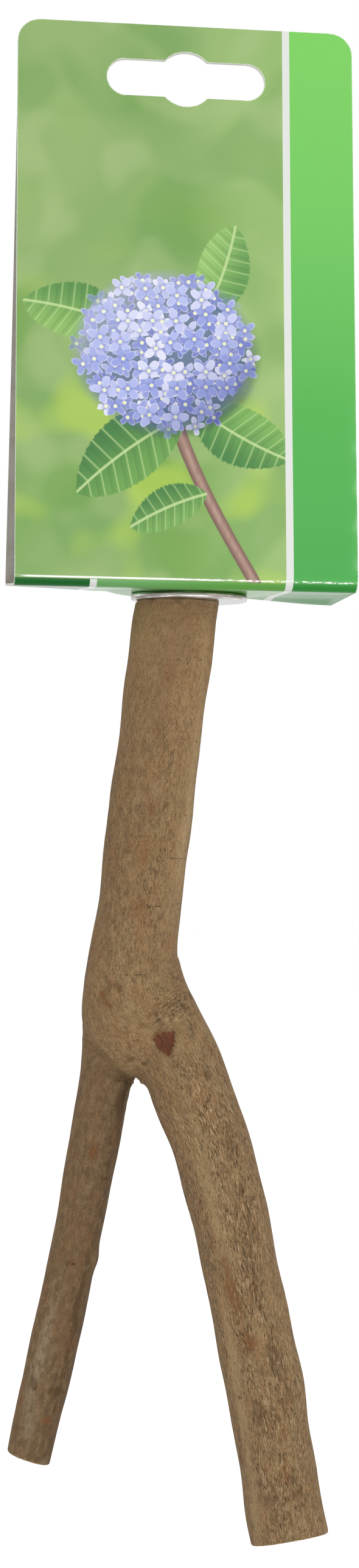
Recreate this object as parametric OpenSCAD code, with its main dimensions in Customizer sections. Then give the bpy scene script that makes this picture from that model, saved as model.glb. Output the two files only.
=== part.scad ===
// Forked natural-wood bird perch on its folded display card.
// A hanger bolt stands out of the stick's sawn end. Two large washers and a wing nut
// clamp the card there, and clamp the wires of a cage when the perch is in use.
// +Z runs up the bolt from the sawn end, +X along the card's width, -Y to its front.

/* [Stick] */
// Length along Z from the sawn end to the tip of the thick arm
stick_len = 192.3; // [150:0.5:240]
// Depth along Z from the sawn end to the tip of the thin arm
thin_arm_reach = 176.8; // [160:0.5:190]
// Diameter of the stem
stem_d = 17.4; // [15:0.1:22]
// Diameter of the thick arm
thick_arm_d = 15.7; // [12:0.1:18]
// Diameter of the thin arm
thin_arm_d = 10; // [7:0.1:12]
// Rounding of the sawn rims
rim_r = 0.6; // [0.3:0.1:1]
// Slope of the thick arm's saw cut across the fork, rising to the right
thick_cut_slope = 10.5; // [4:0.5:16]
// Slope of the thin arm's saw cut across the fork, rising to the left
thin_cut_slope = 18; // [6:0.5:20]
// How far the thick arm's saw cut drops to the back
thick_cut_drop = 12; // [0:0.5:14]
// How far the thin arm's saw cut drops to the back
thin_cut_drop = 6; // [0:0.5:12]
// Wood past the saw cuts that falls away
saw_waste = 3; // [2.5:0.1:4]
// Turn of the fork about the bolt, from the card's width
fork_turn = -7; // [-20:0.1:20]

/* [Hanger bolt] */
// Outside diameter of both threads
bolt_d = 6; // [5:0.1:6.5]
// Length that stands out of the wood
bolt_out = 20; // [16:0.5:30]
// Length in the wood, with the point
bolt_in = 20; // [14:0.5:24]
// Length of the plain shank below the sawn end
shank_len = 4; // [2:0.5:6]
// Length of the point at the wood end
point_len = 4; // [3:0.5:6]
// Chamfer at the free end
bolt_chamfer = 0.8; // [0.4:0.1:1.2]

/* [Washers] */
// Diameter of each washer
washer_d = 24; // [20:0.5:26]
// Bore of each washer
washer_bore = 8.4; // [7.4:0.1:9]
// Thickness of each washer
washer_t = 1.5; // [1:0.1:2]
// Rounding that the stamping leaves on the upper rim
stamp_r = 0.3; // [0.1:0.1:0.4]

/* [Wing nut] */
// Distance over the two wings
wing_span = 24; // [20:0.5:24.5]
// Height from the seat to the top of the wings
wing_h = 12; // [10:0.5:12.5]
// Thickness of a wing
wing_t = 2.4; // [1.6:0.1:3]
// Radius of a wing's rounded lobe
lobe_r = 4; // [3:0.1:4.4]
// Diameter of the hub at its seat
hub_d = 11.6; // [10.5:0.1:12.4]
// Diameter of the hub at its top
hub_top_d = 9.6; // [9:0.1:10.4]
// Height of the hub
hub_h = 6.6; // [5:0.1:7.5]
// Rounding of the hub's top rim
hub_r = 0.8; // [0.3:0.1:1]
// Radial clearance between the nut's bore and the bolt
thread_gap = 0.06; // [0.02:0.01:0.1]
// Turn of the wings from the card's width
wing_turn = 12; // [-40:1:40]

/* [Card] */
// Width of the card
card_w = 69; // [60:0.5:90]
// Height of the front panel along its slope, from the base to the top edge
card_h = 117.5; // [107:0.5:140]
// Thickness of the board
card_t = 0.45; // [0.3:0.05:0.7]
// Outside radius of the front fold
fold_r = 3; // [1.5:0.1:3.5]
// Outside radius of the rear fold
rear_fold_r = 1.8; // [1.2:0.1:3]
// Room between the washer's rim and the round of the front fold
front_room = 1.4; // [0.9:0.1:6]
// Room between the washer's rim and the round of the rear fold
rear_room = 0.7; // [0.7:0.1:6]
// How far the rear panel bows in
rear_bow = 1.2; // [0:0.1:1.4]
// Radius of the top corners
corner_r = 4.6; // [2:0.1:8]
// Hole in the base for the bolt
card_hole_d = 9; // [8:0.1:10]

/* [Display slot] */
// Length of the slot
slot_len = 32.5; // [28:0.5:36]
// Height of the slot's two ends
slot_h = 7.8; // [6:0.1:9]
// Radius of the round hole in the slot's middle
slot_eye_r = 5.8; // [5:0.1:6.5]
// Depth of the slot's centre line under the top edge
slot_down = 11.4; // [9:0.1:14]
// Board under the slot where the two panels are stuck together
slot_margin = 0.8; // [0.5:0.1:3]

/* [Hidden] */
$fn = 64;

// Overrun of every cut
cut = 1;
// How far past the card's edges its round corners run, so that no cut only touches an edge
corner_over = 0.04;
// Steps in the folds and in the bowed panel
fold_steps = 8;
bow_steps = 10;
// Sides of the limbs, and rings from one station to the next
limb_sides = 28;
thin_sides = 20;
ring_steps = 3;
thin_steps = 2;

// How far the loose washers and card have slid on the bolt, as shares of their play
washer_slide_share = 0.9;
card_slide_share = -0.9;
// Shank and point of the bolt as shares of its thread
shank_share = 0.88;
point_share = 0.2;
// Depth of the lumps in the wood as shares of the radius
lump_share = 0.018;
wave_share = 0.012;
// Lumps along the stick as turns of a wave
lump_turns = 5.3;
wave_turns = 11.7;
// Top edge of the card as a share of the depth from the front fold to the rear fold
card_top_share = 0.5;
// Place where a wing leaves the hub, as a share of the hub's radius and height
wing_root_share = 0.75;
wing_root_h_share = 0.72;

// Stations of the stem: right, back and down as shares of the stick's length, then the
// radius and the depth as shares of the stem's radius and of that radius
stem_shares = [
    [-0.0035, 0, -0.02, 0.975, 1],
    [-0.0065, 0, 0, 0.975, 1],
    [-0.0185, 0.002, 0.1, 0.985, 1],
    [-0.0295, 0.003, 0.202, 0.985, 1],
    [-0.04, 0.002, 0.301, 0.995, 1.01],
    [-0.0465, 0, 0.363, 1.03, 1.02],
    [-0.0495, 0, 0.409, 1.12, 0.97],
    [-0.0475, 0, 0.447, 1.17, 0.9],
    [-0.0455, 0, 0.476, 1.02, 0.86],
    [-0.045, 0, 0.496, 0.74, 0.8],
    [-0.0445, 0, 0.508, 0.36, 0.7]
];

// Stations of the thick arm: places as shares of the stick's length, radius as a share
// of the arm's own radius
thick_arm_shares = [
    [-0.0405, 0, 0.368, 0.955, 1],
    [-0.031, -0.001, 0.409, 0.9, 1],
    [-0.0155, -0.003, 0.447, 0.965, 1],
    [0.001, -0.006, 0.485, 1.05, 1],
    [0.017, -0.009, 0.524, 1.07, 1],
    [0.0355, -0.011, 0.571, 1.01, 1],
    [0.0533, -0.013, 0.631, 1, 0.99],
    [0.0652, -0.014, 0.683, 0.995, 0.98],
    [0.0882, -0.012, 0.787, 0.995, 0.98],
    [0.0992, -0.01, 0.838, 1.02, 1],
    [0.108, -0.007, 0.89, 1, 1],
    [0.118, -0.003, 0.945, 1, 1],
    [0.1278, 0, 1, 1.005, 1]
];

// Stations of the thin arm: places as shares of its reach, radius as a share of the
// arm's own radius
thin_arm_shares = [
    [-0.0575, 0, 0.389, 1.3, 1],
    [-0.065, 0.002, 0.446, 1.46, 1],
    [-0.0725, 0.004, 0.491, 1.34, 1],
    [-0.079, 0.007, 0.53, 1.15, 1],
    [-0.085, 0.009, 0.571, 1.07, 1],
    [-0.0953, 0.011, 0.633, 1.03, 1],
    [-0.105, 0.013, 0.689, 1, 0.98],
    [-0.115, 0.014, 0.746, 0.985, 0.98],
    [-0.1255, 0.014, 0.803, 0.98, 1],
    [-0.1368, 0.013, 0.859, 0.97, 1],
    [-0.1485, 0.012, 0.915, 0.955, 1],
    [-0.161, 0.01, 0.972, 0.935, 1],
    [-0.167, 0.009, 1, 0.92, 1]
];

// Levels of the clamped stack, up from the sawn end
base_z = washer_t;
upper_washer_z = base_z + card_t;
nut_z = upper_washer_z + washer_t;

// Places of the loose washers and the card across the bolt
washer_x = washer_slide_share * (washer_bore - bolt_d) / 2;
card_x = card_slide_share * (card_hole_d - bolt_d) / 2;

// The folded card's side view, as points of depth and height
seat_reach = max(washer_d, wing_span) / 2 + abs(washer_x);
front_y = -(seat_reach + front_room + fold_r);
rear_y = seat_reach + rear_room + rear_fold_r;
top_y = front_y + card_top_share * (rear_y - front_y);
lean = asin((top_y - front_y) / card_h);
stuck_h = slot_down + slot_eye_r + slot_margin;
front_corner = [front_y, base_z];
rear_corner = [rear_y, base_z];
front_up = [sin(lean), cos(lean)];
front_in = [cos(lean), -sin(lean)];
front_top = front_corner + card_h * front_up;
rear_top = front_top + 2 * card_t * front_in;
rear_meet = rear_top - stuck_h * front_up;
rear_lean = atan((rear_y - rear_meet[0]) / (rear_meet[1] - base_z));
rear_in = [-cos(rear_lean), -sin(rear_lean)];
front_back_off = fold_r * (1 + sin(lean)) / cos(lean);
rear_back_off = rear_fold_r * (1 + sin(rear_lean)) / cos(rear_lean);
punch_reach = 4 * card_t + 2 * cut;
front_fold_c = [front_y + front_back_off, base_z + fold_r];
rear_fold_c = [rear_y - rear_back_off, base_z + rear_fold_r];
rear_start = rear_corner + rear_back_off * [-sin(rear_lean), cos(rear_lean)];

// Points of an arc about a centre, from one angle to another
function arc(c, r, from, to) =
    [for (i = [0:fold_steps]) let (a = from + (to - from) * i / fold_steps) c + r * [cos(a), sin(a)]];

// Points up the rear panel, bowed in between its two ends
function rear_panel(inset) =
    [for (i = [1:bow_steps - 1])
        let (s = i / bow_steps)
        rear_start + s * (rear_meet - rear_start) + (inset + rear_bow * sin(180 * s)) * rear_in];

// Where the line from p along d meets the line from q along e
function meeting(p, d, q, e) =
    p + d * ((q[0] - p[0]) * e[1] - (q[1] - p[1]) * e[0]) / (d[0] * e[1] - d[1] * e[0]);

// A smooth line through four stations: the point a share t of the way from b to c
function between(a, b, c, d, t) =
    0.5 * (2 * b + (c - a) * t + (2 * a - 5 * b + 4 * c - d) * t * t + (3 * b - a - 3 * c + d) * t * t * t);
function clip(s, k) = s[max(0, min(len(s) - 1, k))];
function smooth_line(s, steps) =
    [for (i = [0:len(s) - 2]) for (j = [0:steps - 1])
        between(clip(s, i - 1), s[i], s[i + 1], clip(s, i + 2), j / steps)];
function unit(v) = v / norm(v);

// The last three rings round the sawn rim over, so each is moved up and made thinner
function sawn_end(last, along) =
    [for (a = [0, 45, 90])
        [last[0] - along * rim_r * (1 - sin(a)), last[1] - rim_r * (1 - cos(a)), last[2], last[3]]];

// Stations in real sizes: [centre, radius, depth share, distance down]
function sized(shares, reach, r) =
    [for (s = shares) [[s[0] * reach, s[1] * reach, -s[2] * reach], s[3] * r, s[4], s[2] * reach]];

// The centre of a limb's tip, and its stations with one more in the waste past the saw cut
function tip(shares, reach) =
    let (s = shares[len(shares) - 1]) [s[0] * reach, s[1] * reach, -s[2] * reach];
function with_waste(shares, reach) =
    let (n = len(shares), a = shares[n - 2], b = shares[n - 1], step = saw_waste / reach / (b[2] - a[2]))
    concat(shares, [[b[0] + step * (b[0] - a[0]), b[1] + step * (b[1] - a[1]), b[2] + step * (b[2] - a[2]),
        b[3], b[4]]]);

// One ring of a limb, square to its own line, with slow lumps round it and along it
function ring(c, r, deep, down, along, sides) =
    let (side = unit(cross(along, [0, 1, 0])), back = cross(side, along), turns = 360 * down / stick_len)
    [for (k = [0:sides - 1])
        let (
            a = 360 * k / sides,
            lump = lump_share * sin(2 * a + lump_turns * turns) + wave_share * sin(3 * a - wave_turns * turns)
        )
        c + r * (1 + lump) * (cos(a) * side + deep * sin(a) * back)];

// A limb of the stick: rings along a smooth line, closed at both ends
module limb(shares, reach, r, steps, sides) {
    flat = [for (s = sized(shares, reach, r)) [s[0][0], s[0][1], s[0][2], s[1], s[2], s[3]]];
    line = smooth_line(flat, steps);
    n = len(line);
    last = flat[len(flat) - 1];
    tip = [last[0], last[1], last[2]];
    centres = [for (p = line) [p[0], p[1], p[2]]];
    end_along = unit(tip - centres[n - 1]);
    ends = sawn_end([tip, last[3], last[4], last[5]], end_along);
    middle = [for (i = [0:n - 1])
        ring(centres[i], line[i][3], line[i][4], line[i][5],
            unit(clip(concat(centres, [tip]), i + 1) - clip(centres, i - 1)), sides)];
    rims = [for (e = ends) ring(e[0], e[1], e[2], e[3], end_along, sides)];
    rings = concat(middle, rims);
    points = [for (r = rings) for (p = r) p];
    count = len(rings);
    walls = [for (i = [0:count - 2]) for (k = [0:sides - 1])
        let (a = i * sides + k, b = i * sides + (k + 1) % sides)
        each [[a, b, a + sides], [b, b + sides, a + sides]]];
    first_cap = [for (k = [1:sides - 2]) [0, k + 1, k]];
    last_cap = [for (k = [1:sides - 2]) let (o = (count - 1) * sides) [o, o + k, o + k + 1]];
    polyhedron(points = points, faces = concat(walls, first_cap, last_cap), convexity = 4);
}

// What the saw takes off a tip: all that lies under a plane with a slope across and a drop to the back
module saw_cut(place, slope, drop) {
    translate(place)
        rotate([-drop, slope, 0])
            translate([-stem_d, -stem_d, -2 * stem_d])
                cube(2 * stem_d);
}

// The debarked fork, sawn square to the bolt at the top and drilled for it
module branch() {
    color("#8c7355")
        rotate([0, 0, fork_turn])
            difference() {
                union() {
                    limb(stem_shares, stick_len, stem_d / 2, ring_steps, limb_sides);
                    limb(with_waste(thick_arm_shares, stick_len), stick_len, thick_arm_d / 2, ring_steps,
                        limb_sides);
                    limb(with_waste(thin_arm_shares, thin_arm_reach), thin_arm_reach, thin_arm_d / 2, thin_steps,
                        thin_sides);
                }
                saw_cut(tip(thick_arm_shares, stick_len), -thick_cut_slope, thick_cut_drop);
                saw_cut(tip(thin_arm_shares, thin_arm_reach), thin_cut_slope, thin_cut_drop);
                translate([-stem_d, -stem_d, 0])
                    cube([2 * stem_d, 2 * stem_d, stick_len]);
                translate([0, 0, -bolt_in + point_len])
                    cylinder(d = bolt_d, h = bolt_in - point_len + cut);
                translate([0, 0, -bolt_in])
                    cylinder(d1 = point_share * bolt_d, d2 = bolt_d, h = point_len);
            }
}

// Wood thread with its point, plain shank and machine thread, drawn at their outside sizes
module hanger_bolt() {
    color("#b9bcc0")
        rotate_extrude()
            polygon([
                [0, -bolt_in],
                [point_share * bolt_d / 2, -bolt_in],
                [bolt_d / 2, -bolt_in + point_len],
                [bolt_d / 2, -shank_len],
                [shank_share * bolt_d / 2, -shank_len],
                [shank_share * bolt_d / 2, 0],
                [bolt_d / 2, 0],
                [bolt_d / 2, bolt_out - bolt_chamfer],
                [bolt_d / 2 - bolt_chamfer, bolt_out],
                [0, bolt_out]
            ]);
}

// A large stamped washer, with the rounded rim that the punch leaves on top
module washer(z) {
    rim_c = [washer_d / 2 - stamp_r, washer_t - stamp_r];
    translate([washer_x, 0, z])
        rotate_extrude()
            polygon(concat(
                [[washer_bore / 2, 0], [washer_d / 2, 0]],
                arc(rim_c, stamp_r, 0, 90),
                [[washer_bore / 2, washer_t]]
            ));
}

module lower_washer() {
    color("#c6c8cc") washer(0);
}

module upper_washer() {
    color("#c6c8cc") washer(upper_washer_z);
}

// Side view of one wing: a round lobe drawn in to its root on the hub
module wing_outline() {
    root_x = wing_root_share * hub_d / 2;
    root_h = wing_root_h_share * hub_h;
    lobe_x = wing_span / 2 - lobe_r;
    hull() {
        translate([lobe_x, wing_h - lobe_r])
            circle(r = lobe_r);
        polygon([[root_x, hub_r], [root_x, root_h + hub_r], [hub_d / 2, hub_r]]);
    }
}

// Cast wing nut: a tapered hub with two upright wings and a plain bore for the thread
module wing_nut() {
    color("#c9cbd0")
        translate([0, 0, nut_z])
            rotate([0, 0, wing_turn])
                difference() {
                    union() {
                        rotate_extrude()
                            polygon(concat(
                                [[0, 0], [hub_d / 2, 0]],
                                arc([hub_top_d / 2 - hub_r, hub_h - hub_r], hub_r, 0, 90),
                                [[0, hub_h]]
                            ));
                        for (side = [0, 180])
                            rotate([0, 0, side])
                                rotate([90, 0, 0])
                                    linear_extrude(height = wing_t, center = true)
                                        wing_outline();
                    }
                    translate([0, 0, -cut])
                        cylinder(d = bolt_d + 2 * thread_gap, h = wing_h + 2 * cut);
                }
}

// Side view of the folded card: base, two panels and the stuck strip along the top
module card_profile() {
    outer = concat(
        [front_top],
        arc(front_fold_c, fold_r, 180 - lean, 270),
        arc(rear_fold_c, rear_fold_r, 270, 360 + rear_lean),
        rear_panel(0),
        [rear_meet, rear_top]
    );
    inner = concat(
        [meeting(front_corner + card_t * front_in, front_up, rear_meet + card_t * rear_in, rear_meet - rear_start)],
        arc(front_fold_c, fold_r - card_t, 180 - lean, 270),
        arc(rear_fold_c, rear_fold_r - card_t, 270, 360 + rear_lean),
        rear_panel(card_t)
    );
    difference() {
        polygon(outer);
        polygon(inner);
    }
}

// What is punched out at the top: the display slot and the waste outside the round corners
module card_punch() {
    middle = card_h - slot_down;
    reach = slot_len / 2 - slot_h / 2;
    translate([-reach, middle - slot_h / 2])
        square([2 * reach, slot_h]);
    for (x = [-reach, reach])
        translate([x, middle])
            circle(d = slot_h);
    translate([0, middle])
        circle(r = slot_eye_r);
    for (side = [-1, 1])
        translate([side * (card_w / 2 - corner_r + corner_over), card_h - corner_r + corner_over])
            difference() {
                translate([side * (corner_r + cut) / 2, (corner_r + cut) / 2])
                    square(corner_r + cut, center = true);
                circle(r = corner_r);
            }
}

// The display card: one sheet folded into a tent, held on the bolt by its base
module hang_card() {
    color("#6fb85c")
        translate([card_x, 0, 0])
            difference() {
                translate([-card_w / 2, 0, 0])
                    rotate([90, 0, 90])
                        linear_extrude(height = card_w)
                            card_profile();
                translate([0, front_y, base_z])
                    rotate([90 - lean, 0, 0])
                        linear_extrude(height = punch_reach, center = true)
                            card_punch();
                translate([0, 0, base_z - cut])
                    cylinder(d = card_hole_d, h = card_t + 2 * cut);
            }
}

branch();
hanger_bolt();
lower_washer();
hang_card();
upper_washer();
wing_nut();
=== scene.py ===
# Dressing for the forked wooden bird perch that hangs from its folded display card.
# Lengths in the dictionaries are millimetres; a mesh is turned to metres as it is made.
import math
from functools import partial

import bpy
import numpy as np
from mathutils import Matrix, Vector
from mathutils.geometry import delaunay_2d_cdt


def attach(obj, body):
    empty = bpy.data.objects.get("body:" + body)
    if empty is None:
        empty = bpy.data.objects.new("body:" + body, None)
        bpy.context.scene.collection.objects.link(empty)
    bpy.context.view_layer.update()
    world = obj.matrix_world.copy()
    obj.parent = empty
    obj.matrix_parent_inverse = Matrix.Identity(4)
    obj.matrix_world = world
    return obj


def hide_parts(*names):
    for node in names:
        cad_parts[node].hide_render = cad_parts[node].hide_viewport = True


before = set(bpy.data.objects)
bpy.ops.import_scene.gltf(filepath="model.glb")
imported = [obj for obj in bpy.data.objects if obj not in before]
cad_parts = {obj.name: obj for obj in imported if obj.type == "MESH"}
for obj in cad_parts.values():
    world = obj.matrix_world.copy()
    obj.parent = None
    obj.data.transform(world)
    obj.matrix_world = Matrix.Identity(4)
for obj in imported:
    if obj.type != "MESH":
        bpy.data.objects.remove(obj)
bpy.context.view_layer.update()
mm = 0.001

# camera of the photograph

view = {
    "distance": 540.0,      # from the camera to the bolt's axis
    "halfHeight": 161.0,    # of the frame, at that distance
    "azimuth": 7.0,         # the camera stands to the left of the card's front
    "roll": 0.84,           # degrees clockwise that the object leans in the frame
    "aimRight": -0.31,
    "aimUp": -37.47,
    "pixels": (590, 2576),
}


def viewAxes():
    # forward, right and up of the camera: level, turned by the azimuth, then rolled about forward
    turn, roll = math.radians(view["azimuth"]), math.radians(view["roll"])
    forward = np.array([math.sin(turn), math.cos(turn), 0.0])
    level = np.array([math.cos(turn), -math.sin(turn), 0.0])
    rise = np.array([0.0, 0.0, 1.0])
    right = math.cos(roll) * level + math.sin(roll) * rise
    up = math.cos(roll) * rise - math.sin(roll) * level
    eye = view["aimRight"] * level + view["aimUp"] * rise - view["distance"] * forward
    return eye, forward, right, up


def setCamera():
    # lens = half the sensor's height times distance over the half height seen there
    eye, forward, right, up = viewAxes()
    lens = bpy.data.cameras.new("photoCamera")
    lens.sensor_fit = "VERTICAL"
    lens.sensor_height = 24.0
    lens.lens = 12.0 * view["distance"] / view["halfHeight"]
    lens.clip_start, lens.clip_end = 0.01, 20.0
    camera = bpy.data.objects.new("photoCamera", lens)
    bpy.context.scene.collection.objects.link(camera)
    axes = Matrix([[*row] for row in np.stack([right, up, -forward], 1)]).to_4x4()
    camera.matrix_world = Matrix.Translation(Vector(eye * mm)) @ axes
    bpy.context.scene.camera = camera


setCamera()
print("camera set")

# small tools


def toLinear(colour):
    # sRGB hex to linear: v/12.92 up to 0.04045, above it ((v + 0.055)/1.055)^2.4
    v = np.array([int(colour[i:i + 2], 16) for i in (1, 3, 5)]) / 255
    linear = np.where(v <= 0.04045, v / 12.92, ((v + 0.055) / 1.055) ** 2.4)
    return (*linear.tolist(), 1.0)


# short names for the nodes that the materials use most: the kind of node and its settings
shortNodes = {
    "mix": ("Mix", {"data_type": "RGBA"}),
    "smooth": ("MapRange", {"interpolation_type": "SMOOTHSTEP"}),
    "range": ("MapRange", {}),
    "ramp": ("ValToRGB", {}),
    "noise": ("TexNoise", {}),
    "split": ("SeparateXYZ", {}),
}
vectorSums = {"shift": "ADD", "between": "SUBTRACT", "stretch": "MULTIPLY", "length": "LENGTH"}
for short, operation in vectorSums.items():
    shortNodes[short] = ("VectorMath", {"operation": operation})
for operation in ("ADD", "SUBTRACT", "MULTIPLY", "DIVIDE", "POWER", "SQRT", "ABSOLUTE", "MAXIMUM", "SINE",
                  "COSINE", "ARCTAN2", "FRACT"):
    shortNodes[operation.lower()] = ("Math", {"operation": operation})


def sumNodes(kind):
    # what a sign between two wires does, and between a number and a wire: it adds the node of that kind
    return (lambda a, b: addNode(a.tree, kind, a, b)), (lambda a, b: addNode(a.tree, kind, b, a))


class Wire:
    # one output of a node, at first its first one; wire[name or number] is another output of that node,
    # and + - * / between wires and numbers add the nodes of those names
    __add__, __radd__ = sumNodes("add")
    __sub__, __rsub__ = sumNodes("subtract")
    __mul__, __rmul__ = sumNodes("multiply")
    __truediv__, __rtruediv__ = sumNodes("divide")

    def __init__(self, tree, node, socket=None):
        self.tree, self.node = tree, node
        self.socket = next((out for out in node.outputs if out.enabled), None) if socket is None else socket

    def __getitem__(self, place):
        return Wire(self.tree, self.node, self.node.outputs[place])


def addNode(tree, kind, *inputs, stops=(), **settings):
    # adds one node with its settings. Its inputs are wires, sRGB hex or numbers, in order or by name
    kind, usual = shortNodes.get(kind, (kind, {}))
    node = tree.nodes.new("ShaderNode" + kind)
    for name, value in {**usual, **settings}.items():
        setattr(node, name, value)
    ordered = [value for value in inputs if not isinstance(value, dict)]
    pairs = list(zip([socket for socket in node.inputs if socket.enabled], ordered))
    for named in inputs[len(ordered):]:
        pairs += [(node.inputs[name], value) for name, value in named.items()]
    for socket, value in pairs:
        if isinstance(value, Wire):
            tree.links.new(value.socket, socket)
        else:
            socket.default_value = toLinear(value) if isinstance(value, str) else value
    for place, (position, colour) in enumerate(stops):
        ramp = node.color_ramp.elements
        stop = ramp[place] if place < 2 else ramp.new(position)
        stop.position = position
        stop.color = toLinear(colour)
    return Wire(tree, node)


def newMaterial(name):
    # a material with an empty node tree, and what adds nodes to it
    material = bpy.data.materials.new(name)
    material.use_nodes = True
    material.node_tree.nodes.clear()
    return material, partial(addNode, material.node_tree)


def layColours(put, base, *layers):
    # colours laid over each other in turn, each through its mask
    for mask, colour in layers:
        base = put("mix", mask, base, colour)
    return base


def latticeNoise(q, seed):
    # value noise: random numbers on a whole-number lattice, blended along each axis by 3t^2 - 2t^3
    table = np.random.default_rng(seed).uniform(-1, 1, (32, 32, 32))
    cell = np.floor(q).astype(int)
    t = q - cell
    t = t * t * (3 - 2 * t)
    total = np.zeros(len(q))
    for corner in np.ndindex(2, 2, 2):
        i, j, k = ((cell + corner) % 32).T
        total += np.prod(np.where(corner, t, 1 - t), axis=1) * table[i, j, k]
    return total


def smoothStep(low, high, x):
    # 0 below low, 1 above high, 3t^2 - 2t^3 between
    t = np.clip((x - low) / (high - low), 0, 1)
    return t * t * (3 - 2 * t)


def unit(rows):
    # each row brought to length 1
    return rows / np.maximum(np.linalg.norm(rows, axis=1, keepdims=True), 1e-6)


def turned(r, z, sides):
    # circles about the upright axis, (r cos a, r sin a, z): one for each radius and height
    angle = np.arange(sides) * 2 * math.pi / sides
    return np.stack(np.broadcast_arrays(r * np.cos(angle), r * np.sin(angle), z), -1)


def gridFaces(rows, columns, start=0, closedRows=False):
    # quads of a grid whose columns close on themselves, as whole arrays; closedRows closes the rows too
    i, k = np.meshgrid(np.arange(rows if closedRows else rows - 1), np.arange(columns), indexing="ij")
    nextRow, nextColumn = (i + 1) % rows, (k + 1) % columns
    quads = np.stack([i * columns + k, i * columns + nextColumn,
                      nextRow * columns + nextColumn, nextRow * columns + k], -1)
    return (quads.reshape(-1, 4) + start).tolist()


def endFaces(rows, columns, start=0):
    # a flat face over the first row of such a grid, facing back, and one over its last row
    last = start + (rows - 1) * columns
    return [list(range(start + columns - 1, start - 1, -1)), list(range(last, last + columns))]


def linkPiece(name, mesh, materials, smooth=True):
    # an object at the origin that wears these materials
    for material in materials:
        mesh.materials.append(material)
    if smooth:
        mesh.shade_smooth()
    piece = bpy.data.objects.new(name, mesh)
    bpy.context.scene.collection.objects.link(piece)
    return piece


def makePiece(name, points, faces, materials, smooth=True):
    # a mesh object from points in millimetres
    mesh = bpy.data.meshes.new(name)
    mesh.from_pydata((np.asarray(points) * mm).tolist(), [], faces)
    return linkPiece(name, mesh, materials, smooth)


def readPoints(mesh):
    # the mesh's points in millimetres
    flat = np.empty(len(mesh.vertices) * 3)
    mesh.vertices.foreach_get("co", flat)
    return flat.reshape(-1, 3) / mm


def writePoints(mesh, points):
    mesh.vertices.foreach_set("co", (points * mm).ravel())
    mesh.update()


def addAttribute(mesh, name, values):
    # one number or one vector for each point, for the material to read
    values = np.asarray(values, dtype=np.float32)
    kind = "FLOAT_VECTOR" if values.ndim == 2 else "FLOAT"
    attribute = mesh.attributes.new(name, kind, "POINT")
    attribute.data.foreach_set("vector" if values.ndim == 2 else "value", values.ravel())


def fuse(name, points, faces, voxel, materials):
    # one closed skin round overlapping closed forms, by a voxel remesh
    rough = makePiece(name + "_rough", points, faces, [])
    remesh = rough.modifiers.new("skin", "REMESH")
    remesh.mode = "VOXEL"
    remesh.voxel_size = voxel * mm
    mesh = bpy.data.meshes.new_from_object(rough.evaluated_get(bpy.context.evaluated_depsgraph_get()))
    bpy.data.objects.remove(rough)
    mesh.name = name
    return linkPiece(name, mesh, materials)


def slopeOf(field, points, reach=0.02):
    # gradient of the field by differences along x, y and z
    here = field(points)
    steps = [(field(points + reach * axis) - here) / reach for axis in np.eye(3)]
    return here, np.stack(steps, 1)


def settle(field, points, rounds):
    # moves points onto the surface where the field is 0: p - f g / |g|^2, a few times
    for _ in range(rounds):
        here, slope = slopeOf(field, points)
        move = slope * (here / np.maximum((slope ** 2).sum(1), 0.05))[:, None]
        points = points - np.clip(move, -0.4, 0.4)
    return points, unit(slopeOf(field, points)[1])


def roundCut(d, g, r):
    # keeps what is inside both d and g, with their meeting edge rounded to radius r
    return np.minimum(np.maximum(d, g), -r) + np.hypot(np.maximum(d + r, 0), np.maximum(g + r, 0))


# the fork of wood

stick = {
    "length": 192.3,        # sawn end to the thick arm's tip
    "thinReach": 176.8,     # sawn end to the thin arm's tip
    "stemR": 8.7,
    "thickR": 7.85,
    "thinR": 5.0,
    "turn": -7.0,           # degrees about the bolt
    "rim": 0.6,             # rounding of the sawn rims
    "thickCut": (-10.5, 12.0),   # slopes of the tips' saw cuts: degrees across the fork and down to the back
    "thinCut": (18.0, 6.0),
    "waste": 3.0,           # wood past the saw cuts that falls away
    "topRim": 0.25,
    "hiddenRims": (2.4, 5.0, 4.0),   # rounding of the ends inside the wood: stem, thick arm, thin arm
    "web": 4.3,             # reach of the fillets where the arms meet
    "voxel": 0.46,
    "knee": (154, 2068),    # a knee on the thin arm: its pixel in the photograph
    "kneeHigh": 0.75,
    "sides": 28,            # of the rough tubes
    "lumps": ((2, 5.3, 0.018), (3, -11.7, 0.012)),   # waves round, waves along, share of the radius
}

# stations down each limb: right, back and down as shares of its reach, then shares of its radius and depth
stemShares = (
    (-0.0035, 0, -0.02, 0.975, 1), (-0.0065, 0, 0, 0.975, 1), (-0.0185, 0.002, 0.1, 0.985, 1),
    (-0.0295, 0.003, 0.202, 0.985, 1), (-0.04, 0.002, 0.301, 0.995, 1.01),
    (-0.0465, 0, 0.363, 1.03, 1.02), (-0.0495, 0, 0.409, 1.12, 0.97), (-0.0475, 0, 0.447, 1.17, 0.9),
    (-0.0455, 0, 0.476, 1.02, 0.86), (-0.045, 0, 0.496, 0.74, 0.8), (-0.0445, 0, 0.508, 0.36, 0.7))
thickShares = (
    (-0.0405, 0, 0.368, 0.955, 1), (-0.031, -0.001, 0.409, 0.9, 1), (-0.0155, -0.003, 0.447, 0.965, 1),
    (0.001, -0.006, 0.485, 1.05, 1), (0.017, -0.009, 0.524, 1.07, 1), (0.0355, -0.011, 0.571, 1.01, 1),
    (0.0533, -0.013, 0.631, 1, 0.99), (0.0652, -0.014, 0.683, 0.995, 0.98),
    (0.0882, -0.012, 0.787, 0.995, 0.98), (0.0992, -0.01, 0.838, 1.02, 1), (0.108, -0.007, 0.89, 1, 1),
    (0.118, -0.003, 0.945, 1, 1), (0.1278, 0, 1, 1.005, 1))
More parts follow.
